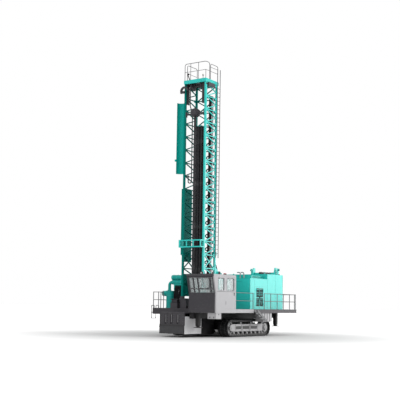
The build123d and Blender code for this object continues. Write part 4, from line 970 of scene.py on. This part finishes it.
def makeTrackFrameFittings():
    roller = {"count": 7, "inset": 0.65, "x": 2.15, "z": 0.2454, "r": (0.075, 0.06), "long": 0.045}
    bolt = {"cap": 0.009, "capRing": 0.04, "frame": 0.02, "frameOff": 0.09, "frameZ": 0.41, "hub": 0.02}
    pocket = {"ys": ((-1.75, -1.05), (-0.85, 0.05), (0.25, 1.15)), "z": (0.52, 0.72), "proud": 0.006}
    bar = {"off": 0.05, "half": 0.02, "z": (0.40, 0.84), "proud": {1: 0.018, -1: 0.006}}
    hubs = ((track["rear"], 0.255, 14, 2.25), (track["front"], 0.095, 6, 2.30))
    face = 2.21
    caps = bmesh.new()
    dark = bmesh.new()
    step = (track["rear"] - track["front"] - 2 * roller["inset"]) / (roller["count"] - 1)
    for side in (-1, 1):
        outward = (side, 0, 0)
        for number in range(roller["count"]):
            y = track["front"] + roller["inset"] + step * number
            start = Vector((side * roller["x"], y, roller["z"]))
            end = start + Vector(outward) * roller["long"]
            addRod(caps, start, end, *roller["r"], sides=20)
            addBoltCircle(caps, end, outward, bolt["capRing"], 4, bolt["cap"], math.pi / 4)
            start = (side * face, y - bolt["frameOff"], bolt["frameZ"])
            addBoltRow(caps, start, (0, 2 * bolt["frameOff"], 0), 2, outward, bolt["frame"])
        # black plates on the frame face stand in for the shaded pockets: painted shade
        for y0, y1 in pocket["ys"]:
            x0, x1 = sideSpan(side, face - seat, face + pocket["proud"])
            low, high = pocket["z"]
            addBox(dark, (x0, y0, low), (x1, y1, high), bevel=0.004)
            x0, x1 = sideSpan(side, face - seat, face + bar["proud"][side])
            low, high = bar["z"]
            for y in (y0 - bar["off"], y1 + bar["off"]):
                addBox(caps, (x0, y - bar["half"], low), (x1, y + bar["half"], high), bevel=fineBevel)
        for y, radius, count, x in hubs:
            addBoltCircle(caps, (side * x, y, track["centre"]), outward, radius, count, bolt["hub"])
    placePiece("trackFrameFittings", caps, "light_paint", "chassis", frameFittings)
    placePiece("trackFramePocketPaintedShade", dark, "trim", "chassis")


# mast and crown

mastBay = 0.925625
crown = {"front": -3.99, "top": 17.91}


def makeMastGussets():
    size = {"bottom": 2.79, "count": 17, "x": (0.878, 0.89), "ys": (-3.80, -2.72), "long": 0.19, "half": 0.1}
    bolt = {"step": 0.06, "r": 0.012}
    near, far = size["x"]
    mesh = bmesh.new()
    for level in range(size["count"]):
        z = size["bottom"] + level * mastBay
        for side in (-1, 1):
            x0, x1 = sideSpan(side, near, far)
            for y in size["ys"]:
                high = (x1, y + size["long"], z + size["half"])
                addBox(mesh, (x0, y, z - size["half"]), high, bevel=fineBevel)
                start = (side * far, y + size["long"] / 2, z - bolt["step"])
                addBoltRow(mesh, start, (0, 0, bolt["step"]), 3, (side, 0, 0), bolt["r"])
    placePiece("mastGussets", mesh, "teal_paint", "mast")


# air pipe and hose bundle behind the lacing of the left side; the hoses are real, and the wide black clamp
# blocks at each bay are partly painted shade behind the lacing
def makeMastPipes():
    size = {"z": (3.2, 16.8), "x": 0.745, "lacingX": 0.86, "hoseYs": (-3.20, -3.10, -3.00), "hoseR": 0.045}
    pipe = {"y": -2.78, "r": 0.065, "strap": 0.078, "strapHalf": 0.03}
    clamp = {"y": (-3.44, -2.94), "half": 0.10, "bottom": 3.72, "count": 15}
    x, (z0, z1) = size["x"], size["z"]
    mesh = bmesh.new()
    addRod(mesh, (x, pipe["y"], z0), (x, pipe["y"], z1), pipe["r"])
    placePiece("mastAirPipe", mesh, "light_paint", "mast", paleGreyAndPaintedLight)
    mesh = bmesh.new()
    for y in size["hoseYs"]:
        addRod(mesh, (x, y, z0), (x, y, z1), size["hoseR"], sides=12)
    # the wide black clamp blocks at each bay are partly painted shade behind the lacing
    for number in range(clamp["count"]):
        z = clamp["bottom"] + number * mastBay
        y0, y1 = clamp["y"]
        high = (size["lacingX"], y1, z + clamp["half"])
        addBox(mesh, (x - pipe["r"], y0, z - clamp["half"]), high, bevel=0.01)
        low = (x - pipe["strap"], pipe["y"] - pipe["strap"], z - pipe["strapHalf"])
        addBox(mesh, low, (size["lacingX"], pipe["y"] + pipe["strap"], z + pipe["strapHalf"]), bevel=0.005)
    placePiece("mastHosesAndPaintedShade", mesh, "rubber", "mast")


# grating, beacon post, strut, beams under the crown and feed housings; the black beams in the crown's hollow
# underside are painted shade
def makeCrownGrating():
    plate = {"x": 0.86, "front": 0.05, "rear": -2.40, "thick": 0.014}
    bar = {"count": 18, "pitch": 0.085, "first": 0.12, "x": 0.84, "wide": 0.018, "z": (0.010, 0.026)}
    post = {"x": 0.62, "y": 0.1, "heights": (0.0, 0.22, 0.26, 0.36), "r": 0.018, "footR": 0.06}
    lens = {"r": (0.05, 0.038)}
    strut = {"y": 0.06, "foot": (-0.45, -0.05), "top": (-0.66, 0.45), "r": 0.035}
    knob = {"foot": (-0.66, 0.43), "top": (-0.55, 0.46), "r": 0.06}
    beam = {"ys": (-3.62, -3.17, -2.72), "x": 0.78, "half": 0.17, "z": (-0.24, -0.05), "bevel": 0.006}
    housing = {"xs": ((-0.80, -0.71), (0.50, 0.78)), "y": (0.17, 0.43), "low": 16.2, "top": -0.2}
    front, z = crown["front"], crown["top"]
    mesh = bmesh.new()
    high = (plate["x"], plate["rear"], z + plate["thick"])
    addBox(mesh, (-plate["x"], front + plate["front"], z - seat), high, bevel=fineBevel)
    low, high = bar["z"]
    for number in range(bar["count"]):
        y = front + bar["first"] + number * bar["pitch"]
        addBox(mesh, (-bar["x"], y, z + low), (bar["x"], y + bar["wide"], z + high))
    foot, neck, cap, lensTop = (Vector((post["x"], front + post["y"], z + rise)) for rise in post["heights"])
    addRod(mesh, foot, neck, post["r"], sides=12)
    addRod(mesh, neck, cap, post["footR"], sides=20)
    for rod, sides in ((strut, 12), (knob, 16)):
        start, end = (Vector((x, front + strut["y"], z + rise)) for x, rise in (rod["foot"], rod["top"]))
        addRod(mesh, start, end, rod["r"], sides=sides)
    # the black beams fill the crown's hollow underside: painted shade
    low, high = beam["z"]
    for y in beam["ys"]:
        corner = (beam["x"], y + beam["half"], z + high)
        addBox(mesh, (-beam["x"], y - beam["half"], z + low), corner, bevel=beam["bevel"])
    y0, y1 = (front + depth for depth in housing["y"])
    for x0, x1 in housing["xs"]:
        addBox(mesh, (x0, y0, housing["low"]), (x1, y1, z + housing["top"]), bevel=0.01)
    placePiece("crownGratingStrutAndPaintedShade", mesh, "trim", "mast")
    mesh = bmesh.new()
    addRod(mesh, cap, lensTop, *lens["r"], sides=20)
    placePiece("crownBeacon", mesh, "trim", "mast", lampLens)


def makeCrownBolts():
    bolt = {"zs": (-0.06, -0.19), "r": 0.016}
    row = {"x": 0.935, "y": 0.12, "pitch": 0.13, "count": 12}
    frontRow = {"x": -0.84, "pitch": 0.14, "count": 13}
    mesh = bmesh.new()
    for z in bolt["zs"]:
        z += crown["top"]
        for side in (-1, 1):
            start = (side * row["x"], crown["front"] + row["y"], z)
            addBoltRow(mesh, start, (0, row["pitch"], 0), row["count"], (side, 0, 0), bolt["r"])
        start, step = (frontRow["x"], crown["front"], z), (frontRow["pitch"], 0, 0)
        addBoltRow(mesh, start, step, frontRow["count"], (0, -1, 0), bolt["r"])
    # the crown bolts take the darker teal copy: painted shade
    placePiece("crownBolts", mesh, "teal_paint", "mast", tealPaintedShade)


def makePivotCaps():
    size = {"y": -2.015, "z": 4.35, "r": (0.14, 0.126), "long": 0.035, "pin": (0.03, 0.06), "pinR": 0.06}
    bolt = {"out": 0.033, "ring": 0.1, "count": 6, "r": 0.015}
    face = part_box("mast_supports")[1].x

    def onFace(side, out):
        return side * (face + out), size["y"], size["z"]

    mesh = bmesh.new()
    for side in (-1, 1):
        addRod(mesh, onFace(side, 0.0), onFace(side, size["long"]), *size["r"])
        start, end = (onFace(side, out) for out in size["pin"])
        addRod(mesh, start, end, size["pinR"], sides=20)
        addBoltCircle(mesh, onFace(side, bolt["out"]), (side, 0, 0), bolt["ring"], bolt["count"], bolt["r"])
    placePiece("pivotCaps", mesh, "trim", "chassis")


# end rings of the lift cylinders, and the pipe between their ports
def makeLiftGlands():
    size = {"base": (-0.515, 2.15), "eye": (-2.155, 5.70), "x": 0.56, "glandBack": 0.09}
    ring = {"gland": (0.018, 0.07), "collar": (0.014, 0.06), "collarAt": 0.24}
    port = {"at": 0.5, "back": 0.12, "sunk": 0.01, "out": (0.05, 0.04), "r": 0.028}
    pipe = {"out": 0.032, "r": 0.014}
    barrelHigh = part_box("lift_barrels")[1]
    start = Vector((size["x"], *size["base"]))
    along = (Vector((size["x"], *size["eye"])) - start).normalized()
    reach = (barrelHigh.z - start.z) / along.z - size["glandBack"]
    half = barrelHigh.x - size["x"]
    mesh = bmesh.new()
    for side in (-1, 1):
        flip = Vector((side, 1, 1))
        outward = Vector((side, 0, 0))
        for distance, (thick, tall) in ((reach, ring["gland"]), (ring["collarAt"], ring["collar"])):
            addRing(mesh, (start + along * distance) * flip, along, half - seat, half + thick, tall)
        ends = []
        for distance, out in zip((port["at"], reach - port["back"]), port["out"]):
            spot = (start + along * distance) * flip + outward * half
            addRod(mesh, spot - outward * port["sunk"], spot + outward * out, port["r"], sides=12)
            ends.append(spot + outward * pipe["out"])
        addRod(mesh, *ends, pipe["r"], sides=10)
    placePiece("liftGlands", mesh, "trim", "lift_barrels")


def makeRodCollars():
    circle = {"y": -3.145, "r": 0.24, "count": 8}
    stored = {"zs": (4.4, 7.4, 10.4, 13.4), "r": (0.086, 0.0912), "tall": 0.3}
    drill = {"y": -3.865, "zs": (4.5, 7.4, 10.3, 13.2), "r": (0.085, 0.097), "tall": 0.35}
    mesh = bmesh.new()
    for number in range(circle["count"]):
        angle = math.tau * number / circle["count"]
        x, y = circle["r"] * math.cos(angle), circle["y"] + circle["r"] * math.sin(angle)
        for z in stored["zs"]:
            addRing(mesh, (x, y, z), (0, 0, 1), *stored["r"], stored["tall"], steps=20)
    placePiece("storedRodCollars", mesh, "worn_steel", "carousel", jointSteel)
    mesh = bmesh.new()
    for z in drill["zs"]:
        addRing(mesh, (0, drill["y"], z), (0, 0, 1), *drill["r"], drill["tall"], steps=24)
    placePiece("stringCollars", mesh, "worn_steel", "string", jointSteel)


def makeHeadFittings():
    size = {"y": -3.865, "bottom": 15.25}
    rim = {"rise": 0.38, "r": 0.348, "count": 16, "bolt": 0.016}
    plate = {"xs": (-0.62, -0.5, 0.5, 0.62), "out": 0.07, "rise": 0.12, "step": 0.15, "bolt": 0.024}
    mesh = bmesh.new()
    for turn in range(rim["count"]):
        angle = math.tau * turn / rim["count"]
        out = Vector((math.cos(angle), math.sin(angle), 0))
        addBolt(mesh, Vector((0, size["y"], size["bottom"] + rim["rise"])) + out * rim["r"], out, rim["bolt"])
    for x in plate["xs"]:
        start = (x, size["y"] - plate["out"], size["bottom"] + plate["rise"])
        addBoltRow(mesh, start, (0, 0, plate["step"]), 2, (0, -1, 0), plate["bolt"])
    placePiece("headBolts", mesh, "dark_paint", "head", wheelIron)


# deck, hood and collector

def makeHoodFittings():
    size = {"ribs": (-0.95, -0.43, 0.02, 0.54, 0.95), "panel": -6.235, "z": (0.88, 1.5)}
    bolt = {"rows": 5, "off": 0.07, "r": 0.016}
    side = {"x": 1.0, "y": -6.05, "pitch": 0.27, "count": 7, "zs": (1.25, 0.34)}
    gap = {"x": (-0.15, -0.035), "proud": 0.005, "top": 0.02}
    rod = {"x": -0.06, "out": 0.01, "foot": 0.1, "r": 0.014}
    low, high = size["z"]
    mesh = bmesh.new()
    for x in size["ribs"]:
        x += -bolt["off"] if x == size["ribs"][-1] else bolt["off"]
        step = (0, 0, (high - low) / (bolt["rows"] - 1))
        addBoltRow(mesh, (x, size["panel"], low), step, bolt["rows"], (0, -1, 0), bolt["r"])
    for hand in (-1, 1):
        for z in side["zs"]:
            start = (hand * side["x"], side["y"], z)
            addBoltRow(mesh, start, (0, side["pitch"], 0), side["count"], (hand, 0, 0), bolt["r"])
    placePiece("hoodBolts", mesh, "dark_paint", "chassis", wheelIron)
    # black rubber strips beside the ribs are painted shade for the gaps between the hood panels
    gapPaintedShade = bmesh.new()
    rods = bmesh.new()
    top = high - gap["top"]
    for x in size["ribs"][1:-1]:
        x0, x1 = (x + off for off in gap["x"])
        corner = (x1, size["panel"] + seat, top)
        addBox(gapPaintedShade, (x0, size["panel"] - gap["proud"], low), corner, bevel=0.002)
        spot = Vector((x + rod["x"], size["panel"] - rod["out"], 0))
        addRod(rods, spot + Vector((0, 0, low + rod["foot"])), spot + Vector((0, 0, top)), rod["r"], sides=12)
    placePiece("hoodGapPaintedShade", gapPaintedShade, "rubber", "chassis")
    placePiece("hoodRods", rods, "light_paint", "chassis")


def makeCurtainClamp():
    size = {"sunk": 0.003, "proud": 0.01, "z": (-0.1, -0.02), "hemProud": 0.008, "hem": (0.01, 0.05)}
    bolt = {"count": 10, "inset": 0.09, "z": -0.06, "r": 0.014}
    fold = {"x": (0.095, 0.103), "proud": 0.004}
    low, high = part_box("front_curtain")
    y = low.y + size["sunk"]
    clampLow, clampHigh = (high.z + off for off in size["z"])
    hemLow, hemHigh = (low.z + off for off in size["hem"])
    face = low.y - size["proud"]
    mesh = bmesh.new()
    addBox(mesh, (low.x, face, clampLow), (high.x, y, clampHigh), bevel=fineBevel)
    addBox(mesh, (low.x, low.y - size["hemProud"], hemLow), (high.x, y, hemHigh), bevel=fineBevel)
    step = (high.x - low.x - 2 * bolt["inset"]) / (bolt["count"] - 1)
    start = low.x + bolt["inset"]
    addBoltRow(mesh, (start, face, high.z + bolt["z"]), (step, 0, 0), bolt["count"], (0, -1, 0), bolt["r"])
    for number in range(bolt["count"]):
        x0, x1 = (start + number * step + off for off in fold["x"])
        addBox(mesh, (x0, low.y - fold["proud"], hemHigh), (x1, y, clampLow))
    placePiece("curtainClamp", mesh, "dark_paint", "curtain", finishes["trim"])


def makeCollectorFittings():
    drum = {"x": -2.06, "y": -3.615, "r": (0.266, 0.29), "zs": (1.92, 2.35, 2.75, 3.06), "tall": 0.03}
    bolt = {"ring": 0.282, "count": 12, "r": 0.008}
    tank = {"zs": (3.69, 4.019), "rs": (0.16, 0.175)}
    strap = {"xs": (-1.76, -1.42, -1.10), "thick": 0.012, "wide": 0.045}
    cap = {"xs": (-1.88, -0.99), "rs": (0.12, 0.13), "half": 0.012}
    outlet = {"x": -2.12, "z": 3.13, "r": (0.1, 0.145), "tall": 0.03}
    inlet = {"x": -2.61, "z": 2.91, "r": (0.12, 0.185), "long": 0.03, "plug": 0.022, "plugR": 0.15}
    y = drum["y"]
    mesh = bmesh.new()
    for z in drum["zs"]:
        addRing(mesh, (drum["x"], y, z), (0, 0, 1), *drum["r"], drum["tall"])
        top = (drum["x"], y, z + drum["tall"])
        addBoltCircle(mesh, top, (0, 0, 1), bolt["ring"], bolt["count"], bolt["r"])
    for x in strap["xs"]:
        for z, r in zip(tank["zs"], tank["rs"]):
            addRing(mesh, (x, y, z), (1, 0, 0), r - seat, r + strap["thick"], strap["wide"])
    addRing(mesh, (outlet["x"], y, outlet["z"]), (0, 0, 1), *outlet["r"], outlet["tall"])
    # the collector bands take the darker teal copy: painted shade
    placePiece("collectorBands", mesh, "teal_paint", "chassis", tealPaintedShade)
    mesh = bmesh.new()
    mouth = (inlet["x"], y, inlet["z"])
    addRing(mesh, mouth, (-1, 0, 0), *inlet["r"], inlet["long"])
    addRod(mesh, mouth, (inlet["x"] - inlet["plug"], y, inlet["z"]), inlet["plugR"], sides=24)
    for x in cap["xs"]:
        for z, r in zip(tank["zs"], cap["rs"]):
            addRod(mesh, (x - cap["half"], y, z), (x + cap["half"], y, z), r, sides=24)
    placePiece("collectorCaps", mesh, "trim", "chassis")


def makeDeckHoses():
    size = {"first": -1.56, "pitch": 0.1, "count": 6, "y": -3.75, "z": (2.15, 3.58), "r": 0.042}
    bow = {"out": 0.28, "x": 0.06, "rise": 0.1, "endX": 0.03, "endY": 0.1}
    ferrule = {"sunk": 0.02, "tall": 0.1, "wide": 1.5}
    y, (low, high) = size["y"], size["z"]
    mesh = bmesh.new()
    for number in range(size["count"]):
        x = size["first"] + number * size["pitch"]
        middle = (x + bow["x"], y - bow["out"], (low + high) / 2 + bow["rise"] * (number % 2))
        addHose(mesh, (x, y, low), middle, (x + bow["endX"], y + bow["endY"], high), size["r"])
        foot, top = (x, y, low - ferrule["sunk"]), (x, y, low + ferrule["tall"])
        addRod(mesh, foot, top, size["r"] * ferrule["wide"], sides=8)
    placePiece("deckHoses", mesh, "rubber", "chassis")


def makeJackFittings():
    places = {
        "jack_front_left": (1.43, -5.265),
        "jack_front_right": (-1.43, -5.265),
        "jack_rear_left": (2.0, 4.235),
        "jack_rear_right": (-2.0, 4.235),
    }
    gland = {"z": 0.76, "drop": 0.02, "r": (0.094, 0.122), "tall": 0.024, "off": 0.1, "bolt": 0.012}
    pad = {"z": 0.68, "ring": 0.24, "count": 8, "bolt": 0.02, "start": 0.2}
    glands = bmesh.new()
    for body, (x, y) in places.items():
        addRing(glands, (x, y, gland["z"] - gland["drop"]), (0, 0, 1), *gland["r"], gland["tall"])
        for dx in (-gland["off"], gland["off"]):
            start = (x + dx, y - gland["off"], gland["z"])
            addBoltRow(glands, start, (0, 2 * gland["off"], 0), 2, (0, 0, -1), gland["bolt"])
        mesh = bmesh.new()
        centre = (x, y, pad["z"])
        addBoltCircle(mesh, centre, (0, 0, 1), pad["ring"], pad["count"], pad["bolt"], pad["start"])
        placePiece(body + "_padBolts", mesh, "worn_steel", body, wheelIron)
    placePiece("jackGlands", glands, "trim", "chassis")


# bolts on the deck's edge, the light sill, straps on the side tank and catches on the tool box
def makeDeckFittings():
    edge = {"x": 3.1, "y": -3.1, "pitch": 0.42, "count": 21, "zs": (1.72, 1.84), "bolt": 0.018}
    sill = {"y": (-3.30, -0.86), "z": (1.65, 1.89), "proud": 0.012}
    sillBolt = {"y": -3.15, "pitch": 0.36, "count": 7, "z": 1.77, "r": 0.02}
    strap = {"ys": (0.86, 1.21, 1.56), "half": 0.03, "x": (2.995, 3.012), "z": (1.03, 1.62)}
    catches = (
        ((3.096, -5.40, 1.50), (3.112, -5.34, 1.58)),
        ((2.60, -5.706, 1.30), (2.66, -5.69, 1.40)),
        ((2.90, -5.706, 1.30), (2.96, -5.69, 1.40)),
    )
    mesh = bmesh.new()
    for z in edge["zs"]:
        start, step = (edge["x"], edge["y"], z), (0, edge["pitch"], 0)
        addBoltRow(mesh, start, step, edge["count"], (1, 0, 0), edge["bolt"])
    placePiece("deckEdgeBolts", mesh, "dark_paint", "chassis")
    mesh = bmesh.new()
    (y0, y1), (z0, z1) = sill["y"], sill["z"]
    face = edge["x"] + sill["proud"]
    addBox(mesh, (edge["x"] - seat, y0, z0), (face, y1, z1), bevel=0.004)
    start, step = (face, sillBolt["y"], sillBolt["z"]), (0, sillBolt["pitch"], 0)
    addBoltRow(mesh, start, step, sillBolt["count"], (1, 0, 0), sillBolt["r"])
    placePiece("lightSill", mesh, "light_paint", "chassis")
    mesh = bmesh.new()
    (x0, x1), (z0, z1) = strap["x"], strap["z"]
    for y in strap["ys"]:
        addBox(mesh, (x0, y - strap["half"], z0), (x1, y + strap["half"], z1), bevel=0.004)
    for low, high in catches:
        addBox(mesh, low, high, bevel=0.004)
    placePiece("boxStraps", mesh, "dark_paint", "chassis")


makeCabSeals()
makeCabFrontBars()
makeCabFrontTrim()
makeCabFrontSkirt()
makeCabSideTrim()
makeLampLenses()
print("cab trimmed")
makeLouvres()
makeHouseSeams()
makeIntakeBars()
makeCoolerGuard()
makeMufflerFittings()
makeRestHorns()
print("machinery house trimmed")
makeTrackChain()
makeTrackFrameFittings()
print("tracks trimmed")
makeMastGussets()
makeMastPipes()
makeCrownGrating()
makeCrownBolts()
makePivotCaps()
makeLiftGlands()
makeRodCollars()
makeHeadFittings()
print("mast trimmed")
makeHoodFittings()
makeCurtainClamp()
makeCollectorFittings()
makeDeckHoses()
makeJackFittings()
makeDeckFittings()
print("deck and hood trimmed")
